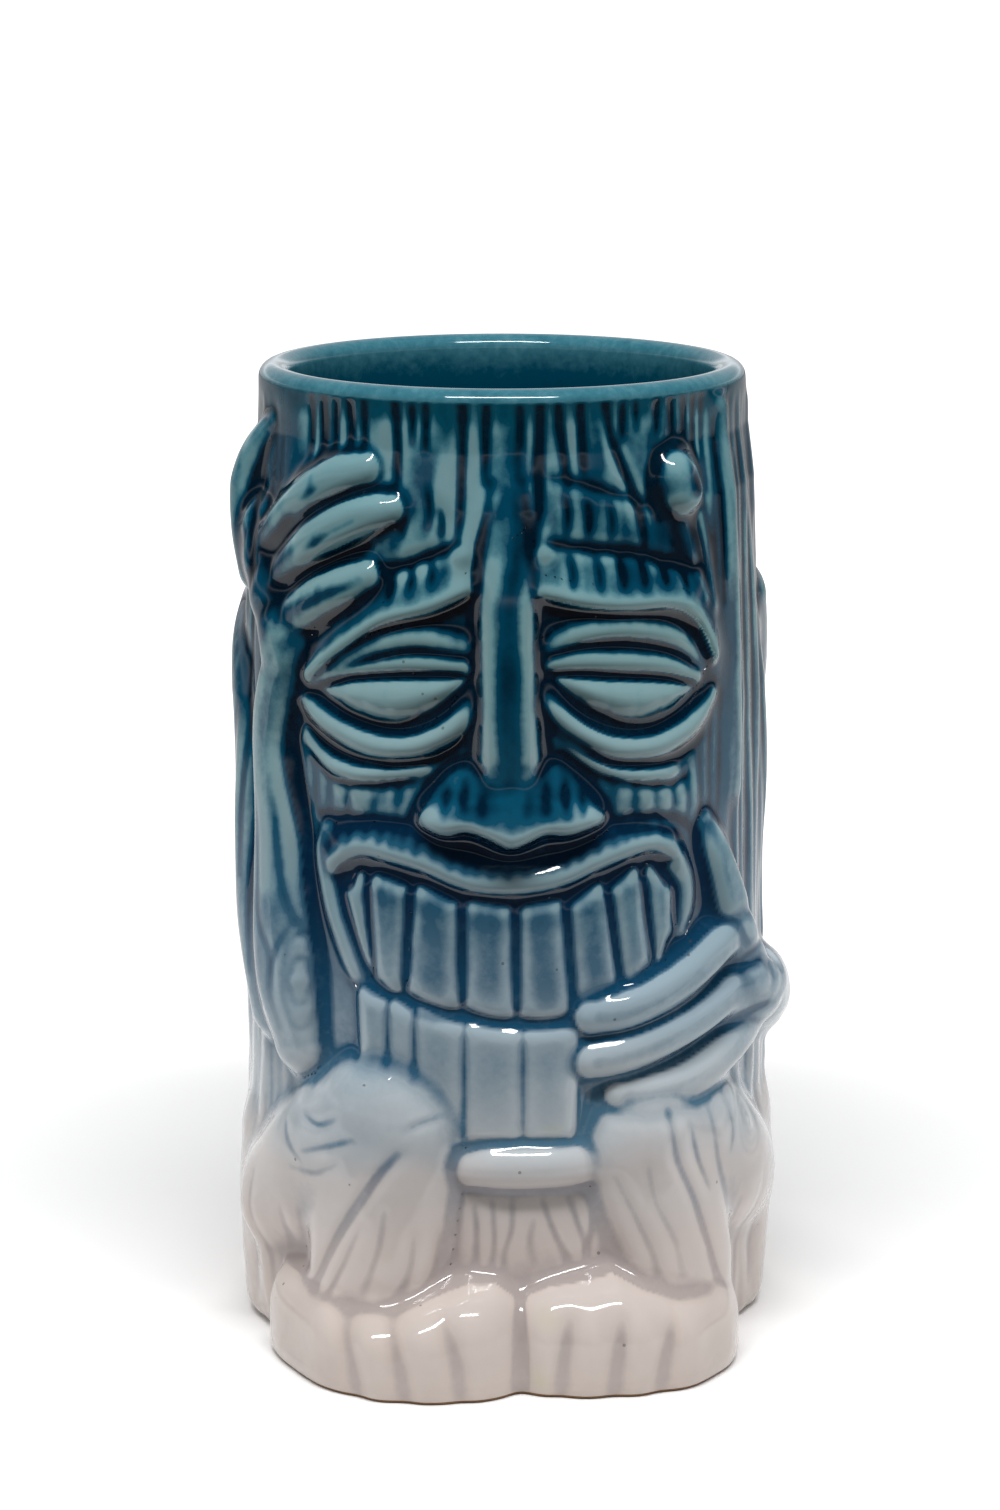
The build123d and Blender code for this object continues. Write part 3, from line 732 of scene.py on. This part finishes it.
# the knot of wood that stands over the left brow
limb("forehead_knot", pts("31.2,150.2,-1.3,4.7 31.8,148.2,-1.4,4.8"), 0.8)
ridge(pts("34.8,151.4,0.9,0.4 35.6,148.4,0.9,0.6 34.2,145.6,1,0.7 31.4,144.4,1,0.5"))
tint_line(pts("33.4,149.4 33.5,148"), 1.2, 0.5)
tint_line(pts("34.8,151.8 35.8,148.4 34.4,145.4 31.2,144.2"), 0.8, -0.4)
tint_line(pts("27.6,151 27.6,147"), 1.6, 0.3)
# painted reflection: a paler band along the underside of the knot, made as thinner glaze
tint_line(pts("29.2,145.8 31.4,144.8 33.8,145.8"), 1.5, -0.5)
shape_all(cut, """
0.95,0.9,0.4 32.6,155.8 28.8,154.6 26.4,151.4 26,147.6 27.4,144
0.7,0.6,0.2 35.6,155 37.6,151.6 37.8,147.8
""")
ridges("""
32.6,142.4,1.2,0.8 34.4,136,1.2,0.8 36.2,130,1.1,0.6
36.4,143,1.1,0.7 38.2,136,1.1,0.8 39.2,128,1.1,0.6
""")

# where the glaze lies thin over the broad swellings, and thick in the broad hollows; a few of the paler
# lines below are painted highlights and painted reflections instead
for names, amount in {
    "right_eyelid left_eyelid": -0.34, "right_eye_bag left_eye_bag": -0.24,
    "right_lid_fold left_lid_fold waist_band": -0.10, "right_upper_lid left_upper_lid chin_planks": -0.12,
    "right_forearm": 0.10, "teeth": -0.04, "right_fingers": 0.22, "right_palm": 0.16,
    "forehead_knot nose_bridge": 0.12, "right_thumb": 0.08, "left_thumb": 0.06, "left_palm": 0.05,
}.items():
    for name in names.split():
        TINT += amount * (OWNER == NAMES.index(name))
# painted highlights: the paler lines along the right thumb (from -57.4,152) and along the top of the left
# index finger (from 46,72.4); painted reflections: the paler lines over both brows (from -33,117.4 and from
# 6.6,133.6)
shape_all(tint_line, """
3.2,-0.26 -34,101 -28,99.4 -20,99.4 -16,100
3.2,-0.22 20,99.4 28,98.6 34,100
1.6,-0.2 -30,103.4 -22,102.4 -13,103.4
1.6,-0.2 10,107 19,102.8 28,101.8
2.4,-0.36 -38.4,124 -42.4,116 -44.6,108 -43.6,100 -41.4,91 -40,82
1.8,0.22 -47.6,108 -47.4,98 -46.6,86
4,-0.1 -38,76 -37,66 -36.4,58
1.5,0.24 0.8,136 0.9,122 1.1,108 1.2,102
0.9,-0.08 -2.4,136 -2.2,120 -1.8,107
0.9,-0.08 4,136 4.1,120 4.3,107
2.6,0.28 -6,99.4 1.2,98.6 8.4,99.4
0.9,-0.14 -10.4,97 -5.2,96 1.1,94 6.2,95.4 12.6,96.6
1.1,-0.34 -41,142.2 -34.4,148.6 -27.6,152.4 -23,153.4
1.2,-0.26 -45,137.6 -39,141.2 -32,145.4
1.1,-0.26 -35,139.4 -26.6,144.8 -20,147.4
1,-0.3 -36,133 -29,138.4 -21,143
1.1,-0.26 -37.6,128.6 -32,132 -25.4,135.4 -21.4,136.8
1,-0.28 -36,124.6 -30,128.2 -23.6,131.6
3.2,0.12 -46.6,140 -43.8,131 -41,124
1.6,-0.24 -57.4,152 -59,146 -58.4,140
1.5,-0.16 -33,117.4 -28,121.6 -24,124.6 -18.6,128.6 -11,131.4 -6,133.8
1.5,-0.16 6.6,133.6 12.6,132.2 19,131.2 28,130.6 33.2,127.4 37,121.4
1.6,-0.16 44,160 44.6,140 45,116 45,96
1.6,-0.14 39.4,86 41.6,79 43.6,72
1.2,-0.16 46,72.4 37,71.2 26,66.4 18,64.6
""")

SHARP = H.copy()  # the relief before the glaze softens it

# ---- where the glaze pools, with some painted highlights and painted reflections carried in from TINT
def blur(field, sigma):
    """Gaussian blur, seamless round the trunk."""
    def kernel(step):
        n = max(1, int(3 * sigma / step))
        k = np.exp(-((np.arange(-n, n + 1) * step / sigma) ** 2) / 2)
        return k / k.sum(), n

    k, n = kernel(STEP)
    padded = np.pad(field, ((n, n), (0, 0)), mode="edge")
    rows = sum(w * padded[i:i + ROWS] for i, w in enumerate(k))
    fine = sum(w * np.roll(rows, i - n, axis=1) for i, w in enumerate(k))
    k, n = kernel(BACK_STEP)
    coarse = sum(w * np.roll(rows, i - n, axis=1) for i, w in enumerate(k))
    return np.where(S_RUN[None, :] < FINE - 3, fine, coarse)


# the glaze fills the sharp creases and softens every edge
H = H + 0.85 * np.maximum(blur(H, 1.5) - H, 0)
H = blur(H, 0.62)

# the foot of the wall is rounded over where it meets the table
H -= 0.9 * np.exp(-Z / 0.9)
H = H + 0.03 * noise(4.2, 4.0, 42)
H *= ease((TOP + 0.4 - Z) / 1.2)

hollow = blur(SHARP, 1.0) - blur(SHARP, 0.36)
hollow_wide = np.clip(blur(SHARP, 2.6) - SHARP, -0.55, 1.2)
hollow_broad = blur(SHARP, 6.0) - SHARP
streaks = 0.09 * ease((Z - 60) / 15) * noise(1.2, 6, 52)
POOL_AND_SHEEN = (0.60 + 0.05 * ease((Z - 62) / 20) + streaks + np.where(hollow < 0, 1.55, 1.1) * hollow
        + 0.26 * hollow_wide + 0.03 * hollow_broad + blur(TINT, 0.5) + 0.05 * noise(5, 8, 51))
POOL_AND_SHEEN = np.clip(POOL_AND_SHEEN, 0, 1)

# ---- the surface in space
ANGLE = S / REF_R


def place(height):
    """Points of the grid at a height over the wall, in metres."""
    r = WALL + height
    return np.stack([r * np.sin(ANGLE), -r * np.cos(ANGLE), Z], -1) * 0.001


P = place(H)
d_up = np.gradient(P, axis=0)
d_round = np.roll(P, -1, axis=1) - np.roll(P, 1, axis=1)
N = np.cross(d_round, d_up)
N /= np.maximum(np.linalg.norm(N, axis=2, keepdims=True), 1e-12)


def cell_faces(mask, coarse):
    """Faces over the masked cells; with coarse, whole hidden blocks become one face each."""
    rows, cols = mask.shape
    faces = []
    fine = mask.copy()
    if coarse:
        br, bc = rows // BLOCK, cols // BLOCK
        blocks = mask[:br * BLOCK, :bc * BLOCK].reshape(br, BLOCK, bc, BLOCK).all(axis=(1, 3))
        around_block = np.pad(blocks, 1)
        for i, j in zip(*np.where(blocks)):
            r, c = i * BLOCK, j * BLOCK
            fine[r:r + BLOCK, c:c + BLOCK] = False
            ring = []
            for y, x, up, right in ((r, c, 0, 1), (r, c + BLOCK, 1, 0),
                                    (r + BLOCK, c + BLOCK, 0, -1), (r + BLOCK, c, -1, 0)):
                joined = around_block[i + 1 - right, j + 1 + up]
                ring += [(y + t * up, x + t * right) for t in range(1 if joined else BLOCK)]
            faces.append([a * COLS + b % COLS for a, b in ring])
    r, c = np.where(fine)
    n = (c + 1) % COLS
    quads = np.stack([r * COLS + c, r * COLS + n, (r + 1) * COLS + n, (r + 1) * COLS + c], 1)
    return faces + quads.tolist()


# a cell's four neighbours (row, column), and the corners (row, column) at the ends of the shared side
SIDES = [((-1, 0), (0, 1), (0, 0)), ((1, 0), (1, 0), (1, 1)),
         ((0, -1), (0, 0), (1, 0)), ((0, 1), (1, 1), (0, 1))]


def edge_faces(mask, offset):
    """Walls round the masked cells, between the top points and the back points (index + offset)."""
    walls = []
    padded = np.pad(mask, ((1, 1), (0, 0)))
    for (up, right), *ends in SIDES:
        other = np.roll(padded[1 + up:1 + up + len(mask)], -right, axis=1)
        r, c = np.where(mask & ~other)
        a, b = [(r + i) * COLS + (c + j) % COLS for i, j in ends]
        walls.append(np.stack([a, b, b + offset, a + offset], 1))
    return np.concatenate(walls).tolist()


def make_piece(name, points, pool_and_sheen, faces, shown, normals, cad_nodes):
    """One mesh from a big point list: the first shown faces are smooth, with given normals."""
    used = np.unique(np.concatenate([np.array(f) for f in faces]))
    index = np.full(len(points), -1)
    index[used] = np.arange(len(used))
    mesh = bpy.data.meshes.new(name)
    mesh.from_pydata(points[used].tolist(), [], [index[f].tolist() for f in faces])
    smooth = np.zeros(len(faces), bool)
    smooth[:shown] = True
    mesh.polygons.foreach_set("use_smooth", smooth)
    layer = mesh.attributes.new("pool_and_sheen", "FLOAT", "POINT")
    layer.data.foreach_set("value", pool_and_sheen[used].astype(np.float32))
    mesh.materials.append(GLAZE)
    loops = np.empty(len(mesh.loops), int)
    mesh.loops.foreach_get("vertex_index", loops)
    sizes = np.array([len(f) for f in faces])
    given = np.repeat(smooth, sizes)
    per_loop = np.where(given[:, None], normals[used][loops], 0.0)
    mesh.normals_split_custom_set(per_loop.tolist())
    mesh.update()
    piece = bpy.data.objects.new(name, mesh)
    bpy.context.collection.objects.link(piece)
    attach(piece, "root")
    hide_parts(*cad_nodes)


# ---- materials
def srgb(r, g, b):
    """A display colour, 0 to 255, as linear numbers."""
    lin = [c / 255 for c in (r, g, b)]
    return tuple(c / 12.92 if c <= 0.04045 else ((c + 0.055) / 1.055) ** 2.4 for c in lin) + (1,)


RIDGE_RAMP = pts("""
0,204,192,184 22,212,201,195 34,209,203,201 46,194,203,208 64,160,181,193 84,126,162,176
104,122,164,174 124,108,160,168 142,90,150,162 162,84,146,160""")
FIELD_RAMP = pts("""
0,198,185,177 22,208,196,190 34,202,196,193 44,178,187,193 56,134,156,170 70,78,114,138 84,38,90,118
100,8,80,108 118,0,70,96 136,0,66,92 152,0,68,94 164,2,76,96""")
DEEP_RAMP = pts("""
0,178,165,160 22,174,163,160 34,150,150,156 44,66,110,136 58,0,72,106 84,0,36,66 104,0,22,42
130,0,14,30 164,0,24,40""")


def ramp(nodes, stops):
    """A colour ramp over the height, which runs from 0 to 1 over the mug."""
    node = nodes.new("ShaderNodeValToRGB")
    node.color_ramp.interpolation = "EASE"
    elements = node.color_ramp.elements
    while len(elements) > 1:
        elements.remove(elements[-1])
    for k, (z, r, g, b) in enumerate(stops):
        element = elements[0] if k == 0 else elements.new(z / 165)
        element.position = z / 165
        element.color = srgb(r, g, b)
    return node


def maths(tree, kind, *inputs, clamp=False):
    """A maths node; its inputs are numbers or sockets."""
    node = tree.nodes.new("ShaderNodeMath")
    node.operation = kind
    node.use_clamp = clamp
    for k, value in enumerate(inputs):
        if isinstance(value, (int, float)):
            node.inputs[k].default_value = value
        else:
            tree.links.new(value, node.inputs[k])
    return node.outputs[0]


# the glaze, in shares of the amount that lies at a place
THIN, THIN_GAIN = 0.12, 2.7  # from here the ridge colours give way to the field colours
THICK, THICK_GAIN = 0.57, 2.2  # from here the field colours give way to the deep ones
WORN, WORN_GAIN, WORN_SHARE = 0.30, 3.2, 0.32  # below here a grey tone shows, on the upper half
UPPER, UPPER_GAIN = 0.38, 6.0  # height share where the upper half starts
WORN_GREY, SPECK, BLUSH, BODY = (166, 178, 174), (70, 66, 60), (190, 192, 120), (120, 92, 66)
BARE_Z = 0.0006  # metres: below this the foot is wiped clean


def glaze(name):
    """Glossy pooled glaze: pale where it runs thin over ridges and where highlights and reflections are
    painted, dark where it pools.
    """
    material = bpy.data.materials.new(name)
    material.use_nodes = True
    nodes, links = material.node_tree.nodes, material.node_tree.links
    shader = nodes["Principled BSDF"]
    place_node = nodes.new("ShaderNodeTexCoord")
    split = nodes.new("ShaderNodeSeparateXYZ")
    links.new(place_node.outputs["Object"], split.inputs[0])
    calc = partial(maths, material.node_tree)

    def past(value, start, gain, clamp=True):
        """How far a value is past a start, times a gain."""
        return calc("MULTIPLY", calc("SUBTRACT", value, start), gain, clamp=clamp)

    def noise_node(scale, detail=3.0, rough=0.5):
        node = nodes.new("ShaderNodeTexNoise")
        for key, value in (("Scale", scale), ("Detail", detail), ("Roughness", rough)):
            node.inputs[key].default_value = value
        links.new(place_node.outputs["Object"], node.inputs["Vector"])
        return node.outputs["Fac"]

    def paint(colour, over, *shares):
        """A colour or socket laid over another, by the product of the shares."""
        fac = shares[0]
        for share in shares[1:]:
            fac = calc("MULTIPLY", fac, share)
        node = nodes.new("ShaderNodeMix")
        node.data_type = "RGBA"
        links.new(fac, node.inputs["Factor"])
        links.new(colour, node.inputs[6])
        if isinstance(over, tuple):
            node.inputs[7].default_value = srgb(*over)
        else:
            links.new(over, node.inputs[7])
        return node.outputs[2]

    # the colour changes with height, along a wavering line
    waver = past(noise_node(38), 0.5, 0.09, False)
    height = calc("ADD", calc("MULTIPLY", split.outputs["Z"], 1 / 0.165), waver, clamp=True)
    ridge_colour, field_colour, deep_colour = [
        ramp(nodes, stops) for stops in (RIDGE_RAMP, FIELD_RAMP, DEEP_RAMP)]
    for node in (ridge_colour, field_colour, deep_colour):
        links.new(height, node.inputs["Fac"])

    # how much glaze lies here, with some painted highlights and painted reflections in it: from the relief,
    # broken up by fine mottling
    pool_and_sheen = nodes.new("ShaderNodeAttribute")
    pool_and_sheen.attribute_name = "pool_and_sheen"
    mottle = past(noise_node(620, 4, 0.6), 0.5, 0.24, False)
    patchy = past(noise_node(95, 3, 0.55), 0.5, 0.16, False)
    amount = calc("ADD", calc("ADD", pool_and_sheen.outputs["Fac"], mottle), patchy, clamp=True)
    colour = paint(ridge_colour.outputs[0], field_colour.outputs[0], past(amount, THIN, THIN_GAIN))
    colour = paint(colour, deep_colour.outputs[0], past(amount, THICK, THICK_GAIN))
    worn = calc("MULTIPLY", calc("SUBTRACT", WORN, amount), WORN_GAIN, clamp=True)
    colour = paint(colour, WORN_GREY, worn, past(height, UPPER, UPPER_GAIN), WORN_SHARE)

    # a few iron specks and pinholes, and faint yellow-green blushes low down
    speck = nodes.new("ShaderNodeTexVoronoi")
    speck.inputs["Scale"].default_value = 260
    links.new(place_node.outputs["Object"], speck.inputs["Vector"])
    rare = calc("GREATER_THAN", noise_node(130, 1), 0.60)
    colour = paint(colour, SPECK, calc("LESS_THAN", speck.outputs["Distance"], 0.075), rare, 0.55)
    low = calc("LESS_THAN", split.outputs["Z"], 0.045)
    colour = paint(colour, BLUSH, past(noise_node(70, 1), 0.70, 9), low, 0.35)

    # the glaze is wiped off just above the table, where the brown body shows
    bare = calc("LESS_THAN", split.outputs["Z"], BARE_Z)
    links.new(paint(colour, BODY, bare), shader.inputs["Base Color"])
    links.new(calc("SUBTRACT", 1.0, bare), shader.inputs["Coat Weight"])
    links.new(calc("ADD", calc("MULTIPLY", noise_node(160), 0.12), 0.10), shader.inputs["Roughness"])
    for key, value in (("Specular IOR Level", 0.05), ("Coat Roughness", 0.035), ("Coat IOR", 1.48)):
        shader.inputs[key].default_value = value

    # orange-peel in the surface of the glaze
    bump = nodes.new("ShaderNodeBump")
    bump.inputs["Strength"].default_value = 0.06
    bump.inputs["Distance"].default_value = 0.0004
    peel = calc("ADD", noise_node(240, 2), calc("MULTIPLY", noise_node(900, 2), 0.25))
    links.new(peel, bump.inputs["Height"])
    for key in ("Normal", "Coat Normal"):
        links.new(bump.outputs["Normal"], shader.inputs[key])
    return material


GLAZE = glaze("glaze")

# ---- the carved pieces
CELL = OWNER[:-1, :]
back = place(np.minimum(H - 0.5, -0.25)).reshape(-1, 3)
grid_points = np.concatenate([P.reshape(-1, 3), back])
grid_pool_and_sheen = np.concatenate([POOL_AND_SHEEN.ravel(), POOL_AND_SHEEN.ravel()])
grid_normals = np.concatenate([N.reshape(-1, 3), N.reshape(-1, 3)])
COUNT = ROWS * COLS

for index, name in enumerate(NAMES[1:], 1):
    mask = CELL == index
    top = cell_faces(mask, False)
    under = [[v + COUNT for v in reversed(f)] for f in cell_faces(mask, True)]
    faces = top + under + edge_faces(mask, COUNT)
    make_piece("carved_" + name, grid_points, grid_pool_and_sheen, faces, len(top), grid_normals, [name])

# ---- the trunk: wall, lip, bowl and base
LIP_R, LIP_HALF, LIP_RISE = 38.4, 2.6, 2.4  # the rounded lip: middle radius, half width, rise
BOWL_FLOOR, RECESS = 7.5, 1.5  # heights of the floor inside and under the mug
# (radius, z, glaze) from the lip down to the bowl's floor, and from the foot ring into its recess
BOWL = pts("""
35.8,162.6,0.32 35.75,160.5,0.42 35.8,157,0.55 35.9,153,0.62 36.1,148,0.68 36.7,140,0.74
37.4,130,0.78 38.2,120,0.8 39,108,0.84 39.3,90,0.9 39.4,70,0.9 39.4,45,0.9 39.4,14,0.9
38.6,10.6,0.95 36.6,8.4,0.95 33.6,7.5,0.9 20,7.5,0.85 8,7.5,0.85""")
BASE = pts("34,0,0.3 33.4,1.5,0.3 16,1.5,0.3")

trunk_cells = CELL == 0
near = np.zeros((ROWS, COLS), bool)
near[:-1] |= trunk_cells
near[1:] |= trunk_cells
near |= np.roll(near, 1, axis=1)
deep = np.where(near, H, np.minimum(H - 0.8, -0.55))  # the wall sinks behind the carved pieces
turns = [math.radians(a) for a in np.linspace(12, 168, 14)]
rings = [(LIP_R + LIP_HALF * math.cos(a), TOP + LIP_RISE * math.sin(a), 0.30) for a in turns] + BOWL
angles = S_COL / REF_R


def around(out, up):
    """Points or normals all round the axis."""
    return np.stack([out * np.sin(angles), -out * np.cos(angles), np.full(COLS, up)], 1)


cup_points, cup_pool_and_sheen = [place(deep).reshape(-1, 3)], [POOL_AND_SHEEN.ravel()]
for profile, middle, glaze_there in ((rings, BOWL_FLOOR, 0.85), (BASE, RECESS, 0.3)):
    for r, z, p in profile:
        cup_points.append(around(r, z) * 0.001)
        cup_pool_and_sheen.append(np.full(COLS, p))
    cup_points.append(np.array([[0, 0, middle * 0.001]]))
    cup_pool_and_sheen.append(np.array([glaze_there]))
cup_points, cup_pool_and_sheen = np.concatenate(cup_points), np.concatenate(cup_pool_and_sheen)


def close_up(lower, first, count, a, b):
    """Faces from the ring that starts at point lower through count more rings to a middle point."""
    faces = []
    middle = first + count * COLS
    for upper in range(first, middle, COLS):
        faces += np.stack([lower + a, lower + b, upper + b, upper + a], 1).tolist()
        lower = upper
    return faces + np.stack([lower + a, lower + b, np.full(COLS, middle)], 1).tolist()


here = np.arange(COLS)
after = (here + 1) % COLS
centre = COUNT + len(rings) * COLS
shown = cell_faces(trunk_cells, False) + close_up((ROWS - 1) * COLS, COUNT, len(rings), here, after)
faces = shown + cell_faces(~trunk_cells, True) + close_up(0, centre + 1, len(BASE), after, here)

# normals: the field's own on the wall, worked out from the ring profile on the lip and in the bowl
profile = np.array([(41.0, TOP - 1.5), *[(r, z) for r, z, _ in rings], (0, BOWL_FLOOR)])
along = np.gradient(profile, axis=0)
flat = np.stack([along[:, 1], -along[:, 0]], 1)
flat /= np.linalg.norm(flat, axis=1, keepdims=True)
cup_normals = np.zeros_like(cup_points)
cup_normals[:COUNT] = N.reshape(-1, 3)
for k, (out, up) in enumerate(flat[1:-1]):
    cup_normals[COUNT + k * COLS:COUNT + (k + 1) * COLS] = around(out, up)
cup_normals[centre] = (0, 0, 1)
make_piece("glazed_trunk", cup_points, cup_pool_and_sheen, faces, len(shown), cup_normals, ["trunk_cup"])


# ---- floor, light and camera
FADE_FROM, FADE_TO, GLOW_NEAR = 0.07, 0.55, 0.10  # the floor's own glow, by metres from the axis
ROOM_COLOUR = (0.97, 0.98, 1.0, 1)
ROOM_BEHIND, ROOM_STRIP, ROOM_DIM = 0.8, 0.6, 0.02  # light from the back wall, the strip and all round
BEHIND_Y, STRIP_Z, STRIP_HALF = 0.35, 0.135, 0.11  # where they are, as a direction's y and z
BACKDROP = 1.08  # how white the camera sees the room
LIGHTS = [  # name, place, aim, width, height, watts
    ("overhead", (0.0, -0.55, 1.15), (0, 0, 0.08), 0.80, 0.12, 11),
    ("above", (0.0, -0.1, 1.7), (0, 0, 0.0), 1.6, 1.2, 9.5),
    ("left", (-1.1, -0.35, 0.5), (0, 0, 0.08), 0.6, 0.9, 2.9),
    ("right", (1.1, -0.35, 0.5), (0, 0, 0.08), 0.6, 0.9, 2.9),
]
CARD_AT, CARD_SIZE = (0, -1.55, 0.001), (6.0, 2.9, 1)
LENS, SENSOR = 92.2, 36  # millimetres
CAMERA_AT, CAMERA_DOWN = (-0.00034, -0.650, 0.2439), 12.76  # metres, and degrees below level


def plane(name, size, at, look, colour):
    """A staged plane with a plain rough material; returns it and the material's tree."""
    bpy.ops.mesh.primitive_plane_add(size=size, location=at)
    thing = bpy.context.object
    thing.name = name
    material = bpy.data.materials.new(look)
    material.use_nodes = True
    shader = material.node_tree.nodes["Principled BSDF"]
    shader.inputs["Base Color"].default_value = srgb(*colour)
    shader.inputs["Roughness"].default_value = 0.6
    shader.inputs["Specular IOR Level"].default_value = 0.1
    thing.data.materials.append(material)
    return thing, material.node_tree


# a white floor that glows to the camera, less near the mug, so that it ends nowhere
floor, tree = plane("floor", 6, (0, 0, 0), "floor_white", (250, 250, 250))
floor_at = tree.nodes.new("ShaderNodeTexCoord")
away = tree.nodes.new("ShaderNodeVectorMath")
away.operation = "LENGTH"
fade = tree.nodes.new("ShaderNodeMapRange")
fade.interpolation_type = "SMOOTHSTEP"
for key, value in (("From Min", FADE_FROM), ("From Max", FADE_TO), ("To Min", GLOW_NEAR), ("To Max", 1.0)):
    fade.inputs[key].default_value = value
tree.links.new(floor_at.outputs["Object"], away.inputs[0])
tree.links.new(away.outputs["Value"], fade.inputs["Value"])
eye = tree.nodes.new("ShaderNodeLightPath")
glow = maths(tree, "MULTIPLY", fade.outputs["Result"], eye.outputs["Is Camera Ray"])
floor_shader = tree.nodes["Principled BSDF"]
floor_shader.inputs["Emission Color"].default_value = (1, 1, 1, 1)
tree.links.new(glow, floor_shader.inputs["Emission Strength"])

# a dim studio: grey behind the mug, a pale strip along the front wall, a white backdrop to the camera
world = bpy.context.scene.world or bpy.data.worlds.new("world")
bpy.context.scene.world = world
world.use_nodes = True
tree = world.node_tree
background = tree.nodes["Background"]
background.inputs["Color"].default_value = ROOM_COLOUR
calc = partial(maths, tree)
compass = tree.nodes.new("ShaderNodeTexCoord")
axes = tree.nodes.new("ShaderNodeSeparateXYZ")
tree.links.new(compass.outputs["Generated"], axes.inputs[0])
seen = tree.nodes.new("ShaderNodeLightPath")
behind = calc("MULTIPLY", calc("SUBTRACT", axes.outputs["Y"], BEHIND_Y, clamp=True), ROOM_BEHIND)
off_strip = calc("ABSOLUTE", calc("SUBTRACT", axes.outputs["Z"], STRIP_Z))
in_strip = calc("SUBTRACT", 1.0, calc("DIVIDE", off_strip, STRIP_HALF), clamp=True)
strip = calc("MULTIPLY", calc("MULTIPLY", in_strip, in_strip), ROOM_STRIP)
room = calc("ADD", calc("ADD", behind, strip), ROOM_DIM)
white = calc("MULTIPLY", seen.outputs["Is Camera Ray"], BACKDROP)
tree.links.new(calc("MAXIMUM", room, white), background.inputs["Strength"])

for name, at, aim, wide, tall, power in LIGHTS:
    light = bpy.data.lights.new(name, "AREA")
    light.shape = "RECTANGLE"
    light.size, light.size_y = wide, tall
    light.energy = power
    box = bpy.data.objects.new(name, light)
    box.location = at
    box.rotation_euler = (Vector(aim) - Vector(at)).to_track_quat("-Z", "Y").to_euler()
    box.visible_glossy = name == "overhead"             # only this one shows in the glaze
    bpy.context.collection.objects.link(box)

# a dark card on the floor in front, out of the picture, seen only in the glaze
card, _ = plane("dark_card", 1, CARD_AT, "card_brown", (70, 60, 56))
card.scale = CARD_SIZE
card.visible_camera = False
card.visible_shadow = False

scene = bpy.context.scene
camera_data = bpy.data.cameras.new("camera")
camera_data.lens, camera_data.sensor_width = LENS, SENSOR
camera = bpy.data.objects.new("camera", camera_data)
camera.location = CAMERA_AT
camera.rotation_euler = (math.radians(90 - CAMERA_DOWN), 0, 0)
scene.collection.objects.link(camera)
scene.camera = camera
scene.view_settings.view_transform = "Standard"
scene.view_settings.look = "None"
